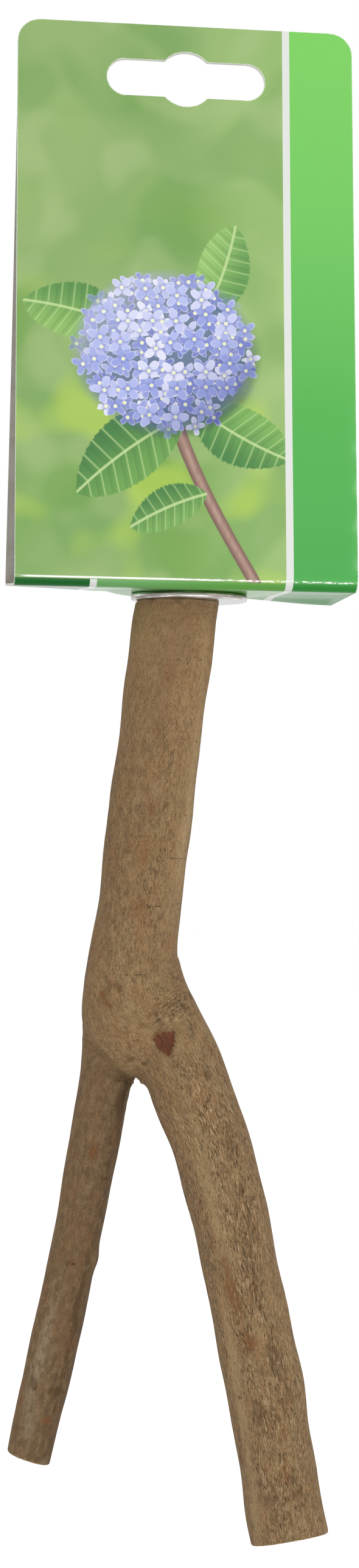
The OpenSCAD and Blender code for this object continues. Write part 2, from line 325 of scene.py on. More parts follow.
thinShares = (
    (-0.0575, 0, 0.389, 1.3, 1), (-0.065, 0.002, 0.446, 1.46, 1), (-0.0725, 0.004, 0.491, 1.34, 1),
    (-0.079, 0.007, 0.53, 1.15, 1), (-0.085, 0.009, 0.571, 1.07, 1), (-0.0953, 0.011, 0.633, 1.03, 1),
    (-0.105, 0.013, 0.689, 1, 0.98), (-0.115, 0.014, 0.746, 0.985, 0.98),
    (-0.1255, 0.014, 0.803, 0.98, 1), (-0.1368, 0.013, 0.859, 0.97, 1), (-0.1485, 0.012, 0.915, 0.955, 1),
    (-0.161, 0.01, 0.972, 0.935, 1), (-0.167, 0.009, 1, 0.92, 1))


def smoothLine(stations, steps):
    # Catmull-Rom: half of 2b + (c-a)t + (2a-5b+4c-d)t^2 + (3b-a-3c+d)t^3 between stations b and c
    s = np.vstack([stations[:1], stations, stations[-1:]])
    a, b, c, d = (s[i:len(s) - 3 + i, None, :] for i in range(4))
    t = (np.arange(steps) / steps)[None, :, None]
    line = 0.5 * (2 * b + (c - a) * t + (2 * a - 5 * b + 4 * c - d) * t ** 2
                  + (3 * b - a - 3 * c + d) * t ** 3)
    return np.vstack([line.reshape(-1, stations.shape[1]), stations[-1:]])


def evenLimb(line):
    # the line read again at even steps of its length: place, radius, depth share, depth down, direction
    step = np.linalg.norm(np.diff(line[:, :3], axis=0), axis=1)
    s = np.concatenate([[0], np.cumsum(step)])
    count = int(s[-1] / 0.5) + 1
    even = np.linspace(0, s[-1], count)
    table = np.stack([np.interp(even, s, column) for column in line.T], 1)
    along = unit(np.gradient(table[:, :3], axis=0))
    return {"table": np.hstack([table, along]), "gap": s[-1] / (count - 1), "length": s[-1]}


def makeLimb(shares, reach, radius, cut=None):
    # shares to millimetres, with the centre line turned about the bolt; a limb with a saw cut goes on past
    # it. The cut's upward direction is (cos d sin s, sin d, cos d cos s), for slope s across and drop d back
    s = np.array(shares)
    if cut:
        further = s[-1] + stick["waste"] / reach / (s[-1, 2] - s[-2, 2]) * (s[-1] - s[-2])
        s = np.vstack([s, [*further[:3], *s[-1, 3:]]])
    turn = math.radians(stick["turn"])
    x, y = s[:, 0] * reach, s[:, 1] * reach
    stations = np.stack([x * math.cos(turn) - y * math.sin(turn), x * math.sin(turn) + y * math.cos(turn),
                         -s[:, 2] * reach, s[:, 3] * radius, s[:, 4], s[:, 2] * reach], 1)
    limb = evenLimb(smoothLine(stations, 8))
    if cut:
        slope, drop = (math.radians(angle) for angle in cut)
        side, back = math.cos(drop) * math.sin(slope), math.sin(drop)
        limb["tip"] = stations[-2, :3]
        limb["up"] = np.array([side * math.cos(turn) - back * math.sin(turn),
                               side * math.sin(turn) + back * math.cos(turn),
                               math.cos(drop) * math.cos(slope)])
    return limb


stem = makeLimb(stemShares, stick["length"], stick["stemR"])
thick = makeLimb(thickShares, stick["length"], stick["thickR"], stick["thickCut"])
thin = makeLimb(thinShares, stick["thinReach"], stick["thinR"], stick["thinCut"])
backward = np.array([-math.sin(math.radians(stick["turn"])), math.cos(math.radians(stick["turn"])), 0.0])


def readLimb(limb, s):
    # a limb's row at distance s, blended between its two nearest
    x = np.clip(s / limb["gap"], 0, len(limb["table"]) - 1.001)
    i = x.astype(int)
    w = (x - i)[:, None]
    return limb["table"][i] * (1 - w) + limb["table"][i + 1] * w


def limbPlace(p, limb):
    # nearest place on the centre line: level with the point first, then moved by its lead along the line
    table = limb["table"]
    s = np.interp(-p[:, 2], table[:, 5], np.arange(len(table)) * limb["gap"])
    for _ in range(3):
        row = readLimb(limb, s)
        s = np.clip(s + ((p - row[:, :3]) * row[:, 6:9]).sum(1), 0, limb["length"])
    row = readLimb(limb, s)
    off, along = p - row[:, :3], row[:, 6:9]
    side = unit(np.cross(along, backward))
    back = np.cross(side, along)
    a, b = (off * side).sum(1), (off * back).sum(1)
    out = unit(a[:, None] * side + b[:, None] * back)
    return {"s": s, "a": a, "b": b, "out": out, "lead": (off * along).sum(1), "row": row}


def limbDistance(p, limb):
    # offset from the centre line less the radius there, which swells and shrinks in slow lumps
    place = limbPlace(p, limb)
    radius, deep, down = place["row"][:, 3], place["row"][:, 4], place["row"][:, 5]
    angle = np.arctan2(place["b"] / deep, place["a"])
    turns = 2 * math.pi * down / stick["length"]
    lump = sum(share * np.sin(round_ * angle + along_ * turns) for round_, along_, share in stick["lumps"])
    return np.hypot(place["a"], place["b"] / deep) - radius * (1 + lump), place


def webUnion(d, out, e, away, reach):
    # the nearer of two limbs, with a fillet where they face apart and none where they lie on each other
    k = reach * (1 - (out * away).sum(1)) / 2 + 1e-3
    h = np.maximum(k - np.abs(d - e), 0) / k
    nearer = (d < e)[:, None]
    return np.minimum(d, e) - h * h * k / 4, np.where(nearer, out, away)


def startPlane(p, limb, end=0):
    # distance out through the plane square to a limb at its start, or with end -1 at its last place
    row = limb["table"][end]
    return (p - row[:3]) @ row[6:9] * (1 if end else -1)


def tipPlane(p, limb):
    # distance out through a tip's saw cut
    return (limb["tip"] - p) @ limb["up"]


def forkField(p):
    # below 0 inside the wood: stem, thick arm and thin arm joined, each cut at its sawn face
    stemRim, thickRim, thinRim = stick["hiddenRims"]
    d, a = limbDistance(p, stem)
    d = roundCut(d, startPlane(p, stem, -1), stemRim)
    e, b = limbDistance(p, thick)
    e = roundCut(roundCut(e, startPlane(p, thick), thickRim), tipPlane(p, thick), stick["rim"])
    g, c = limbDistance(p, thin)
    g = roundCut(roundCut(g, startPlane(p, thin), thinRim), tipPlane(p, thin), stick["rim"])
    both, out = webUnion(d, a["out"], e, b["out"], stick["web"])
    all3 = webUnion(both, out, g, c["out"], stick["web"])[0]
    return roundCut(all3, p[:, 2], stick["topRim"])


def roughTube(limb, shrink, start):
    # rings round the centre line: centre + r (cos a side + sin a back), with an n-gon on each end
    rows = np.vstack([limb["table"][::6], limb["table"][-1:]])
    sides, count = stick["sides"], len(rows)
    angle = np.arange(sides) * 2 * math.pi / sides
    side = unit(np.cross(rows[:, 6:9], backward))
    back = np.cross(side, rows[:, 6:9])
    ring = np.cos(angle)[None, :, None] * side[:, None] + np.sin(angle)[None, :, None] * back[:, None]
    points = (rows[:, None, :3] + (rows[:, 3, None, None] - shrink) * ring).reshape(-1, 3)
    if "tip" in limb:
        # what lies past the saw cut is drawn back onto it, down the limb's own direction
        down = np.repeat(rows[:, 6:9], sides, axis=0)
        past = np.maximum(tipPlane(points, limb), 0) / -(down @ limb["up"])
        points = points - down * past[:, None]
    return points, gridFaces(count, sides, start) + endFaces(count, sides, start)


def mainLine():
    # the line that the grain follows from the stem into the thick arm: a cross-fade of their centres
    down = np.arange(0, stick["length"], 1.0)
    centre = [np.stack([np.interp(down, limb["table"][:, 5], limb["table"][:, k]) for k in (0, 1)], 1)
              for limb in (stem, thick)]
    share = smoothStep(70, 92, down)[:, None]
    place = centre[0] * (1 - share) + centre[1] * share
    ones = np.ones(len(down))
    return evenLimb(np.column_stack([place, -down, ones, ones, down]))


mainGrain = mainLine()
thinStart = float(np.interp(float(thin["table"][0, 5]), mainGrain["table"][:, 5],
                            np.arange(len(mainGrain["table"])) * mainGrain["gap"]))


def grainOf(p):
    # the point as the grain sees it: right, back and along its limb, and how far it is the thin arm's
    place, twig = limbPlace(p, mainGrain), limbPlace(p, thin)
    near = np.minimum(limbDistance(p, stem)[0], limbDistance(p, thick)[0])
    share = smoothStep(-1.2, 1.2, near - limbDistance(p, thin)[0])[:, None]
    main = np.stack([place["a"], place["b"], place["s"] + place["lead"]], 1)
    other = np.stack([twig["a"], twig["b"], twig["s"] + twig["lead"] + thinStart], 1)
    return main * (1 - share) + other * share, share[:, 0]


def onWood(pixels):
    # the places on the wood that the camera sees at these pixels of the photograph, by stepping down each ray
    eye, forward, right, up = viewAxes()
    pixels = np.asarray(pixels, float)
    middle = np.array(view["pixels"]) / 2
    scale = view["pixels"][1] / 2 / view["halfHeight"]
    ray = unit(view["distance"] * forward + ((pixels[:, :1] - middle[0]) / scale) * right
               - ((pixels[:, 1:] - middle[1]) / scale) * up)
    travel = np.full(len(ray), view["distance"] - 40.0)
    for _ in range(60):
        travel += 0.8 * np.clip(forkField(eye + ray * travel[:, None]), -4, 4)
    return eye + ray * travel[:, None]


# marks by the pixel they stand at in the photograph: x, y, half width and half length in mm, strength
woodMarks = {
    "knots": ((271, 1712, 1.95, 2.05, 1), (281, 1700, 0.9, 0.8, 1), (260, 1711, 0.9, 1.2, 1),
        (274, 1726, 0.9, 1.1, 1)),
    "rustAndShade": ((169, 1634, 0.8, 1.9, 1), (176, 1648, 0.8, 1.4, 0.9), (184, 1616, 0.8, 1.6, 0.6),
        (196, 1624, 0.8, 1.7, 0.9), (183, 1654, 0.6, 0.7, 0.7), (257, 1592, 0.9, 1.2, 0.7),
        (259, 1698, 1.3, 0.9, 0.9), (235, 1685, 0.9, 0.7, 0.7), (153, 1894, 1.2, 2, 0.9),
        (92, 1990, 1.2, 4, 1.4), (390, 2150, 2.4, 9, 0.45), (372, 2080, 1.3, 6, 0.5),
        (411, 2208, 1.5, 2.6, 0.8), (380, 2120, 1.6, 5, 0.5), (420, 2020, 1.2, 3, 0.4),
        (118, 2076, 1.4, 1.4, 0.5), (395, 2392, 0.9, 3, 1), (78, 2334, 1.4, 1, 0.9), (60, 2282, 0.8, 1, 0.5),
        (237, 1400, 1.6, 5, 0.5), (262, 1200, 1.8, 5, 0.5), (278, 1110, 2.2, 3.5, 0.5),
        # (310, 1012) is partly a reddish stain and partly painted shade under the washer
        (300, 1330, 1.2, 4, 0.5), (250, 1330, 1.2, 2.2, 0.6), (310, 1012, 3.6, 1.6, 0.4),
        (228, 1490, 1.8, 3, 0.5), (150, 1560, 0.8, 5, 0.5), (472, 2420, 0.8, 3, 0.8),
        (300, 1700, 1.8, 3, 0.35), (345, 1720, 1, 2, 0.5)),
    "soilAndShade": ((298, 1650, 1.6, 1.4, 0.6), (313, 1636, 1, 1.2, 1.3), (276, 1672, 2.4, 1.8, 0.35),
        (222, 1530, 3, 9, 0.3), (205, 1700, 4.4, 5, 0.35), (460, 2450, 4.6, 9, 0.3), (250, 1668, 2, 1.6, 0.5),
        (342, 1766, 1.8, 1.6, 0.8), (368, 1850, 2.6, 8, 0.45), (398, 1960, 2.4, 6, 0.6),
        (405, 2060, 2.8, 9, 0.7), (382, 1890, 1.6, 5, 0.7), (425, 2120, 1.7, 9, 0.7),
        (412, 2010, 1.6, 4, 0.7), (445, 2215, 1.5, 5, 0.8), (442, 2330, 3, 3.4, 0.65),
        (422, 2318, 1.2, 4, 0.8), (465, 2250, 2.6, 7, 0.6), (470, 2300, 2.2, 5, 0.55),
        (490, 2440, 2.2, 6, 0.6), (452, 2470, 1.8, 6, 0.4), (78, 2332, 2, 2.4, 0.4),
        # (206, 1796), (195, 1772) and (214, 1776) are painted shade in the crotch and on the thin arm's top
        # right
        (55, 2275, 1.2, 1.6, 1.3), (93, 2285, 2.6, 0.8, 1.2), (206, 1796, 1.1, 6, 1.3),
        (195, 1772, 2.6, 0.8, 0.8), (214, 1776, 1.6, 1.4, 0.9), (170, 1936, 1.4, 0.7, 1.5),
        (174, 1914, 0.8, 0.8, 1.5), (182, 1880, 0.9, 0.6, 1.4), (116, 2074, 1.3, 0.9, 1.2),
        (137, 2100, 1.2, 9, 0.8), (126, 2170, 1.6, 7, 0.7), (106, 2250, 1.4, 8, 0.6),
        (415, 1968, 0.8, 0.7, 1.5), (394, 2296, 0.5, 0.6, 1.5), (272, 1322, 0.9, 1.2, 1),
        (246, 1492, 1.5, 1, 0.7), (205, 1490, 2.2, 4, 0.4), (262, 1516, 0.9, 4, 0.5),
        (216, 1740, 1, 0.7, 1.2), (236, 1748, 0.9, 0.9, 1.1), (206, 1750, 0.8, 0.8, 0.5),
        # (300, 993) is partly a brown stain and partly painted shade under the washer
        (300, 993, 5, 0.8, 0.5), (180, 1340, 3, 8, 0.25), (340, 1160, 1.2, 3, 0.4),
        (290, 1100, 1.4, 2.4, 0.4), (152, 1700, 1, 6, 0.3)),
    "pale": ((255, 1296, 1.2, 2.4, 0.8), (227, 1312, 0.8, 1.6, 0.7), (270, 1040, 0.6, 3, 0.5),
        # (228, 1040) is painted light on the stem's top, where the card shades it
        (244, 1103, 0.6, 0.8, 0.7), (338, 1060, 1.6, 14, 0.5), (228, 1040, 3.4, 7, 0.5),
        (262, 1110, 8, 14, 0.22), (320, 1250, 2.4, 16, 1), (300, 1390, 2.4, 14, 1), (250, 1620, 2.4, 4, 0.35),
        # (70, 2215), (52, 2270), (46, 2340) and (82, 2170) are a painted sheen on the thin arm's left side
        (230, 1700, 3, 2.2, 0.35), (292, 1668, 1.6, 1.2, 0.5), (70, 2215, 1.4, 9, 0.9),
        (52, 2270, 1.2, 7, 0.9), (46, 2340, 1.4, 5, 0.8), (82, 2170, 0.9, 5, 0.5), (372, 2080, 1.3, 14, 0.9),
        (352, 1990, 1.3, 14, 0.8), (378, 2200, 1.3, 16, 0.9), (392, 2300, 1.3, 12, 0.8),
        (408, 2400, 1.2, 14, 0.8), (420, 2500, 1.2, 10, 0.6), (74, 2402, 0.9, 0.9, 0.9),
        (340, 1690, 2, 7, 0.4), (470, 2200, 1, 12, 0.4), (433, 2020, 1, 12, 0.4)),
}

# hairline cracks, each along a few pixels
woodCracks = (
    ((203, 1599), (212, 1603), (224, 1602), (240, 1601)),
    ((311, 1628), (304, 1636), (296, 1642), (288, 1652), (283, 1662)),
    ((296, 1634), (287, 1640), (276, 1646), (267, 1656)),
    ((300, 1655), (291, 1661), (280, 1668)), ((266, 1668), (259, 1678), (250, 1683)),
    # the line from (188, 1770) to (217, 1774) is painted shade along the crease where the thin arm tucks
    # under the fork
    ((281, 1600), (290, 1607), (300, 1612)), ((188, 1770), (196, 1777), (208, 1779), (217, 1774)),
    ((173, 1815), (180, 1817), (187, 1817)), ((163, 1934), (171, 1936), (181, 1934)),
    ((160, 1512), (158, 1522), (157, 1532)), ((240, 1484), (247, 1491), (262, 1489), (275, 1492)),
    ((284, 1487), (292, 1486), (299, 1480)), ((320, 1218), (328, 1221), (333, 1219)),
    ((320, 1284), (326, 1287), (330, 1286)), ((304, 1340), (311, 1338), (316, 1340)),
    ((276, 1409), (286, 1411), (296, 1410), (305, 1410)), ((319, 1080), (330, 1084), (342, 1082)),
    ((278, 1083), (286, 1085), (295, 1083)), ((338, 1118), (345, 1121), (349, 1120)),
    ((250, 1494), (247, 1504), (249, 1515)), ((255, 1528), (253, 1540), (256, 1552)),
    ((393, 2345), (390, 2358), (394, 2372)), ((400, 2347), (404, 2358), (401, 2374)),
    ((410, 1966), (416, 1970), (421, 1966)), ((391, 2297), (394, 2292), (397, 2288)),
    ((88, 2284), (97, 2287), (108, 2284)), ((56, 2270), (60, 2279), (55, 2284)),
    ((181, 1902), (178, 1912), (180, 1920)), ((112, 2073), (120, 2078), (128, 2074)),
    ((152, 1560), (150, 1572)), ((333, 1560), (330, 1571), (331, 1584)))


def markFields(points, grain):
    # each mark is an ellipse in the grain's own frame: hypot(across/width, along/length)
    fields = {}
    for kind, marks in woodMarks.items():
        marks = np.array(marks)
        centres = onWood(marks[:, :2])
        homes = grainOf(centres)[0]
        total = np.full(len(points), 50.0) if kind == "knots" else np.zeros(len(points))
        for centre, home, (_, _, width, length, strength) in zip(centres, homes, marks):
            along = grain[:, 2] - home[2]
            across = np.sqrt(np.maximum(((points - centre) ** 2).sum(1) - along ** 2, 0))
            reach = np.hypot(across / width, along / length)
            if kind == "knots":
                total = np.minimum(total, (reach - 1) * min(width, length))
            else:
                total += strength * np.exp(-1.2 * reach ** 2)
        fields[kind] = total if kind == "knots" else np.clip(total, 0, 1.5)
    return fields


def crackField(points):
    # distance in mm to the nearest crack, along the short straight runs between its pixels
    nearest = np.full(len(points), 9.0)
    for crack in woodCracks:
        bends = onWood(crack)
        for start, end in zip(bends[:-1], bends[1:]):
            run = end - start
            close = np.abs(points - start).max(1) < 8
            part = points[close]
            t = np.clip(((part - start) @ run) / (run @ run), 0, 1)
            gap = np.linalg.norm(part - start - t[:, None] * run, axis=1)
            nearest[close] = np.minimum(nearest[close], gap)
    return nearest


def carveWood(points, out, grain, marks, wrinkle, cutFace):
    # depth of the surface in mm: slow swells, ripples along the grain, wrinkles, knot and sawn faces
    lean = 1 - cutFace
    swell = 0.11 * latticeNoise(grain / (5, 5, 16) + 7, 11) + 0.07 * latticeNoise(grain / (2.4, 2.4, 9), 12)
    ripple = 0.05 * latticeNoise(grain / (1.1, 1.1, 6), 13) + 0.03 * latticeNoise(grain / (0.8, 0.8, 2.4), 14)
    fold = latticeNoise(grain / (5.5, 5.5, 1.15) + 0.4 * latticeNoise(grain / 3, 15)[:, None], 16)
    fromKnee = np.linalg.norm(points - onWood([stick["knee"]])[0], axis=1)
    knee = stick["kneeHigh"] * np.exp(-(fromKnee / 2.6) ** 2)
    knot = marks["knots"]
    rim = 0.22 * np.exp(-((knot - 0.35) / 0.45) ** 2)
    pit = -0.34 * smoothStep(0.3, -0.7, knot) * (1 + 0.5 * latticeNoise(points / 0.8, 17))
    saw = 0.03 * latticeNoise(points / (0.7, 8, 0.7), 18) * cutFace
    worn = 0.1 * marks["soilAndShade"] * ripple
    depth = lean * (swell + ripple + knee + 0.16 * wrinkle * fold + rim + pit - worn) + saw
    return points + out * depth[:, None]


def buildFork(material):
    # rough tubes fused, settled on the fork's field, then carved; the marks go to the material as attributes
    parts, faces = [], []
    for limb in (stem, thick, thin):
        points, quads = roughTube(limb, 0.05, sum(len(part) for part in parts))
        parts.append(points)
        faces += quads
    rough = np.vstack(parts)
    rough[:, 2] = np.minimum(rough[:, 2], 0)
    piece = fuse("fork_of_wood", rough, faces, stick["voxel"], [material])
    mesh = piece.data
    points, out = settle(forkField, readPoints(mesh), 5)
    grain, twig = grainOf(points)
    marks = markFields(points, grain)
    shoulder = onWood(((292, 1650), (262, 1662), (206, 1779)))
    reach = [np.linalg.norm(points - place, axis=1) for place in shoulder]
    wrinkle = np.clip(np.exp(-(reach[0] / 4.2) ** 2) + 0.6 * np.exp(-(reach[1] / 3.4) ** 2)
                      + 0.7 * np.exp(-(reach[2] / 2.2) ** 2), 0, 1)
    onThick, onThin = (limbDistance(points, limb)[0] < 1.5 for limb in (thick, thin))
    faceGap = np.maximum.reduce([points[:, 2], np.where(onThick, tipPlane(points, thick), -9),
                                 np.where(onThin, tipPlane(points, thin), -9)])
    cutFace = smoothStep(-0.35, -0.05, faceGap)
    carved = carveWood(points, out, grain, marks, wrinkle, cutFace)
    carved[:, 2] = np.minimum(carved[:, 2], -0.01)
    writePoints(mesh, carved)
    addAttribute(mesh, "grain", grain)
    addAttribute(mesh, "marks", np.stack([marks["rustAndShade"], marks["soilAndShade"], marks["pale"]], 1))
    addAttribute(mesh, "knot", marks["knots"])
    addAttribute(mesh, "crack", crackField(points))
    # long fibres stand up on the thick arm below the fork, short chips above it, and neither on the thin arm
    # and the pale smooth strips
    arm = smoothStep(84, 112, grain[:, 2])
    rough = (1 - 0.85 * marks["pale"] * (0.4 + 0.6 * arm)) * (1 - 0.96 * twig) * (1 - cutFace)
    patch = latticeNoise(grain / (2.6, 2.6, 7), 19)
    fibrous = np.clip(rough * arm * (0.9 + 0.5 * patch), 0, 1)
    chipped = np.clip(rough * (1 - arm) * (0.6 + 0.6 * patch), 0, 1)
    # the thin arm is greyer, and painted shade darkens it further towards its right
    greyAndShade = twig * (0.85 + 0.25 * np.clip(grain[:, 0] / stick["thinR"], -1, 1))
    addAttribute(mesh, "place", np.stack([greyAndShade, cutFace, wrinkle], 1))
    addAttribute(mesh, "fibrous", fibrous)
    addAttribute(mesh, "chipped", chipped)
    print("fork of wood:", len(mesh.polygons), "faces")
    return piece


# noises in the wood, by the width and length of their grains in mm, and their detail
woodGrains = {
    "streak": (0.34, 1.6, 4), "fibre": (0.2, 1.9, 2), "chip": (0.2, 0.7, 2), "pore": (0.19, 1.2, 2),
    "speck": (0.26, 0.34, 3), "mottle": (1.1, 2, 6), "cloud": (3.4, 7.5, 3), "drift": (2.6, 11, 3),
    "fold": (1.5, 0.7, 3), "ragged": (0.5, 0.5, 3),
}


def debarkedWood():
    # hardwood with its bark stripped, dried and left rough: matt and mottled, with fibres lifted along it.
    # A fibre is 0.2 mm wide and 1.9 mm long, paler with a painted highlight, and dark pore lines with painted
    # shade lie between: drawn as coarse as it has to show.
    material, put = newMaterial("debarkedWood")
    grain, marks, place = (put("Attribute", attribute_name=name)["Vector"]
                           for name in ("grain", "marks", "place"))
    knot, crack, fibrous, chipped = (put("Attribute", attribute_name=name)["Fac"]
                                     for name in ("knot", "crack", "fibrous", "chipped"))
    rustAndShade, soilAndShade, pale = put("split", marks)
    greyAndShade, cutFace, wrinkle = put("split", place)
    # long grains waver by up to half a millimetre
    stray = put("noise", put("stretch", grain, (0.6, 0.6, 0.15)), 1, 1)["Color"]
    wavy = put("shift", grain, put("stretch", put("between", stray, (0.5, 0.5, 0.5)), (1, 1, 0)))
    tone = []
    for index, (across, along, detail) in enumerate(woodGrains.values()):
        vector = put("Mapping", {"Vector": wavy if along > 3 * across else grain,
                                 "Location": (7 * index, 3 * index, 5 * index),
                                 "Scale": (1 / across, 1 / across, 1 / along)})
        tone.append(put("noise", vector, 1, detail, 0.6))
    streak, fibre, chip, pore, speck, mottle, cloud, drift, fold, ragged = tone

    wood = put("ramp", mottle, stops=((0.3, "#6f5839"), (0.5, "#876b4a"), (0.7, "#9b7f5a")))
    greyed = put("ramp", mottle, stops=((0.34, "#4d3a25"), (0.5, "#5b4730"), (0.66, "#6f5a42")))
    greyed = put("mix", put("smooth", cloud, 0.46, 0.64) * 0.5, greyed, "#66492f")
    palest = pale * put("range", put("smooth", mottle, 0.36, 0.56), 0, 1, 0.8 - greyAndShade * 0.7, 1)
    # painted light: the stem is lighter and warmer near its sawn end, in the card's shade; and the thin arm
    # keeps a smoother skin
    litTop = put("smooth", put("split", grain)[2], 46, 12)
    coarse = put("range", greyAndShade, 0, 1, 1, 0.4)
    # soil and rust sit in blotches with broken edges; some blotches are painted shade instead, in the crotch
    # and under the washer
    broken = (mottle - 0.5) * 1.6 + (streak - 0.5) * 0.8
    # lifted fibres and chips are paler and carry a painted highlight; the pore lines between them are dark,
    # partly painted shade
    poresAndShade = put("smooth", pore, 0.46, 0.36) * (fibrous * 0.75 + (chipped * 0.6 + 0.08))
    lifted = put("maximum", put("smooth", fibre, 0.52, 0.63) * (fibrous * 0.7),
                 put("smooth", chip, 0.58, 0.67) * (chipped * 0.55))
    # the knot's outline is broken by noise of one and of half a millimetre
    edge = knot + (ragged - 0.5) * 0.9 + (mottle - 0.5) * 1.6
    # cracks are 0.15 mm wide, wander with the fibres and break off
    cracked = put("smooth", put("absolute", crack + (ragged - 0.5) * 0.45), 0.16, 0.06)
    cracked = cracked * put("smooth", mottle, 0.32, 0.42)
    # sawn faces: paler, with a ring each 1.1 mm about the pith
    distance = put("length", put("stretch", grain, (1, 1, 0)))
    ring = put("smooth", put("sine", distance * (2 * math.pi / 1.1) + mottle * 3), 0.2, 1)
    sawn = put("mix", ring * 0.5, "#b59a72", "#856743")
    sawn = put("mix", put("smooth", distance, 1, 0.3), sawn, "#65482e")
    wood = layColours(
        put, wood,
        (put("smooth", cloud, 0.45, 0.64) * 0.35, "#8e643c"),
        (put("smooth", drift, 0.48, 0.66) * 0.25, "#8d7a55"),
        # the thin arm's darker, greyer colour, deeper towards its right side as painted shade
        (greyAndShade * 0.86, greyed),
        # pale marks: pale wood, and on the thin arm's left a painted sheen in the greyer tone
        (palest * 0.65, put("mix", greyAndShade, "#a98f68", "#857a68")),
        # painted light on the stem near its sawn end
        (litTop * 0.28, "#a8825a"),
        (coarse * put("smooth", streak, 0.5, 0.3) * 0.42, "#543d24"),
        (coarse * put("smooth", streak, 0.5, 0.7) * 0.22, "#b2976f"),
        (put("smooth", speck, 0.45, 0.3) * 0.6, "#4a341d"),
        (coarse * put("smooth", speck, 0.56, 0.7) * 0.4, "#bda27a"),
        # this mask also carries painted shade in the crotch and under the washer
        (put("smooth", soilAndShade - broken, 0.25, 1) * 0.6, "#4b351b"),
        # this mask carries partly painted shade under the washer
        (put("smooth", rustAndShade + broken, 0.15, 0.9) * 0.75, "#6f4420"),
        # painted shade in the pore lines, then a painted highlight on the lifted fibres
        (poresAndShade, "#402c16"),
        (lifted, "#bda27c"),
        # the stripped shoulder is crumpled: painted shade in its brown creases and painted highlights on its
        # pale ridges
        (wrinkle * put("smooth", fold, 0.48, 0.38) * 0.5, "#452d14"),
        (wrinkle * put("smooth", fold, 0.54, 0.66) * 0.35, "#b99e75"),
        (put("smooth", edge, 0.9, 0) * 0.35, "#5b4630"),
        (put("smooth", edge, 0.12, -0.12),
         put("mix", put("smooth", mottle, 0.35, 0.65), "#56301f", "#6d402b")),
        # the crack mask also draws painted shade along the crotch crease
        (cracked * 0.65, "#3d2b1b"),
        (cutFace, sawn))
    # relief in mm: fibres stand 0.1 proud, pores and cracks go in
    relief = streak * 0.05 + lifted * 0.13 - poresAndShade * 0.09 + speck * 0.07 + mottle * 0.34
    relief = relief - cracked * 0.12 + wrinkle * fold * 0.6
    shader = put("BsdfPrincipled", {
        "Base Color": wood, "Roughness": put("range", mottle, 0.3, 0.7, 0.74, 0.9), "IOR": 1.45,
        "Specular IOR Level": 0.3,
        "Normal": put("Bump", {"Height": relief, "Strength": 1.0, "Distance": mm})})
    put("OutputMaterial", shader)
    return material


fork = buildFork(debarkedWood())
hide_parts("branch")
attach(fork, "perch")

# bolt, washers and wing nut

metal = {
    "washerR": 12.0, "washerBoreR": 4.2, "washerT": 1.5, "washerX": 1.08, "upperZ": 1.95,
    "boltR": 3.0, "boltOut": 20.0, "boltIn": 20.0, "pitch": 1.0, "threadDeep": 0.6, "chamfer": 0.8,
    "woodPitch": 2.6, "woodDeep": 0.95, "shank": 4.0, "point": 4.0,
    "nutZ": 3.45, "nutTurn": 12.0, "wingSpan": 24.0, "wingHigh": 12.0, "wingT": 2.4, "lobe": 4.0,
    "hubR": 5.8, "hubTopR": 4.8, "hubHigh": 6.6, "hubRound": 0.8, "boreGap": 0.06,
    "wingRoot": 2.3, "melt": 1.5,    # half height of a wing's root, and reach of the fillet at the hub
}


brightTints = ((0.3, "#a9adb3"), (0.7, "#c6c8ca"))
rimTints = ((0.36, "#6d6863"), (0.5, "#928b86"), (0.62, "#e9e8e4"))


def zincPlate(name, nick, tints, grade):
    # zinc-plated mild steel, barrel plated: bright and slightly blue, with a soft satin from tumbling.
    # Tumbling nicks are 0.3 mm wide; on a blanked rim they are drawn out to streaks 0.3 mm high
    material, put = newMaterial(name)
    place = put("TexCoord")["Object"]
    fine = put("Mapping", {"Vector": place, "Scale": tuple(1 / (size * mm) for size in nick)})
    nicks = put("noise", fine, 1, 4, 0.6)
    cloud = put("noise", place, 1 / (4 * mm), 3)
    # level faces are even, and old oil dulls them in clouds 4 mm wide
    level = put("absolute", put("split", put("TexCoord")["Normal"])[2])
    tint = layColours(put, put("ramp", nicks, stops=tints),
                      (put("smooth", level, 0.75, 0.95), put("ramp", nicks, stops=brightTints)),
                      (put("smooth", cloud, 0.4, 0.7) * 0.4, "#b5ada0"))
    shader = put("BsdfPrincipled", {
        "Base Color": tint, "Metallic": 1.0,
        "Roughness": put("range", nicks, 0.3, 0.7, grade - 0.07, grade + 0.1),
        "Normal": put("Bump", {"Height": nicks, "Strength": 0.12, "Distance": 0.04 * mm})})
    put("OutputMaterial", shader)
    return material


def ringSolid(name, profile, sides, centre, material):
    # a closed profile of (radius, height) turned about the upright line through centre
    points = turned(profile[:, :1], profile[:, 1:], sides) + centre
    return makePiece(name, points.reshape(-1, 3), gridFaces(len(profile), sides, 0, True), [material])


def roundedProfile(corners):
    # corners (radius, height, rounding) to a closed outline; each corner is a quarter-like curve of 6 steps,
    # the quadratic blend (1-t)^2 a + 2t(1-t) c + t^2 b between points a rounding away on either side
    corners = np.array(corners, float)
    here = corners[:, :2]
    before, after = np.roll(here, 1, 0), np.roll(here, -1, 0)
    a = here + unit(before - here) * corners[:, 2:]
    b = here + unit(after - here) * corners[:, 2:]
    t = np.linspace(0, 1, 7)[None, :, None]
    curve = (1 - t) ** 2 * a[:, None] + 2 * t * (1 - t) * here[:, None] + t ** 2 * b[:, None]
    return curve.reshape(-1, 2)


def buildWasher(name, height, material):
    # a blanked washer: both rims rolled well round, with a faint step in its side where the blank tore
    r, t, bore = metal["washerR"], metal["washerT"], metal["washerBoreR"]
    outline = roundedProfile((
        (bore, 0, 0.12), (r - 0.12, 0, 0.55), (r - 0.03, 0.5 * t, 0.08), (r, 0.56 * t, 0.05), (r, t, 0.6),
        (bore, t, 0.25)))
    return ringSolid(name, outline, 160, (metal["washerX"], 0, height), material)


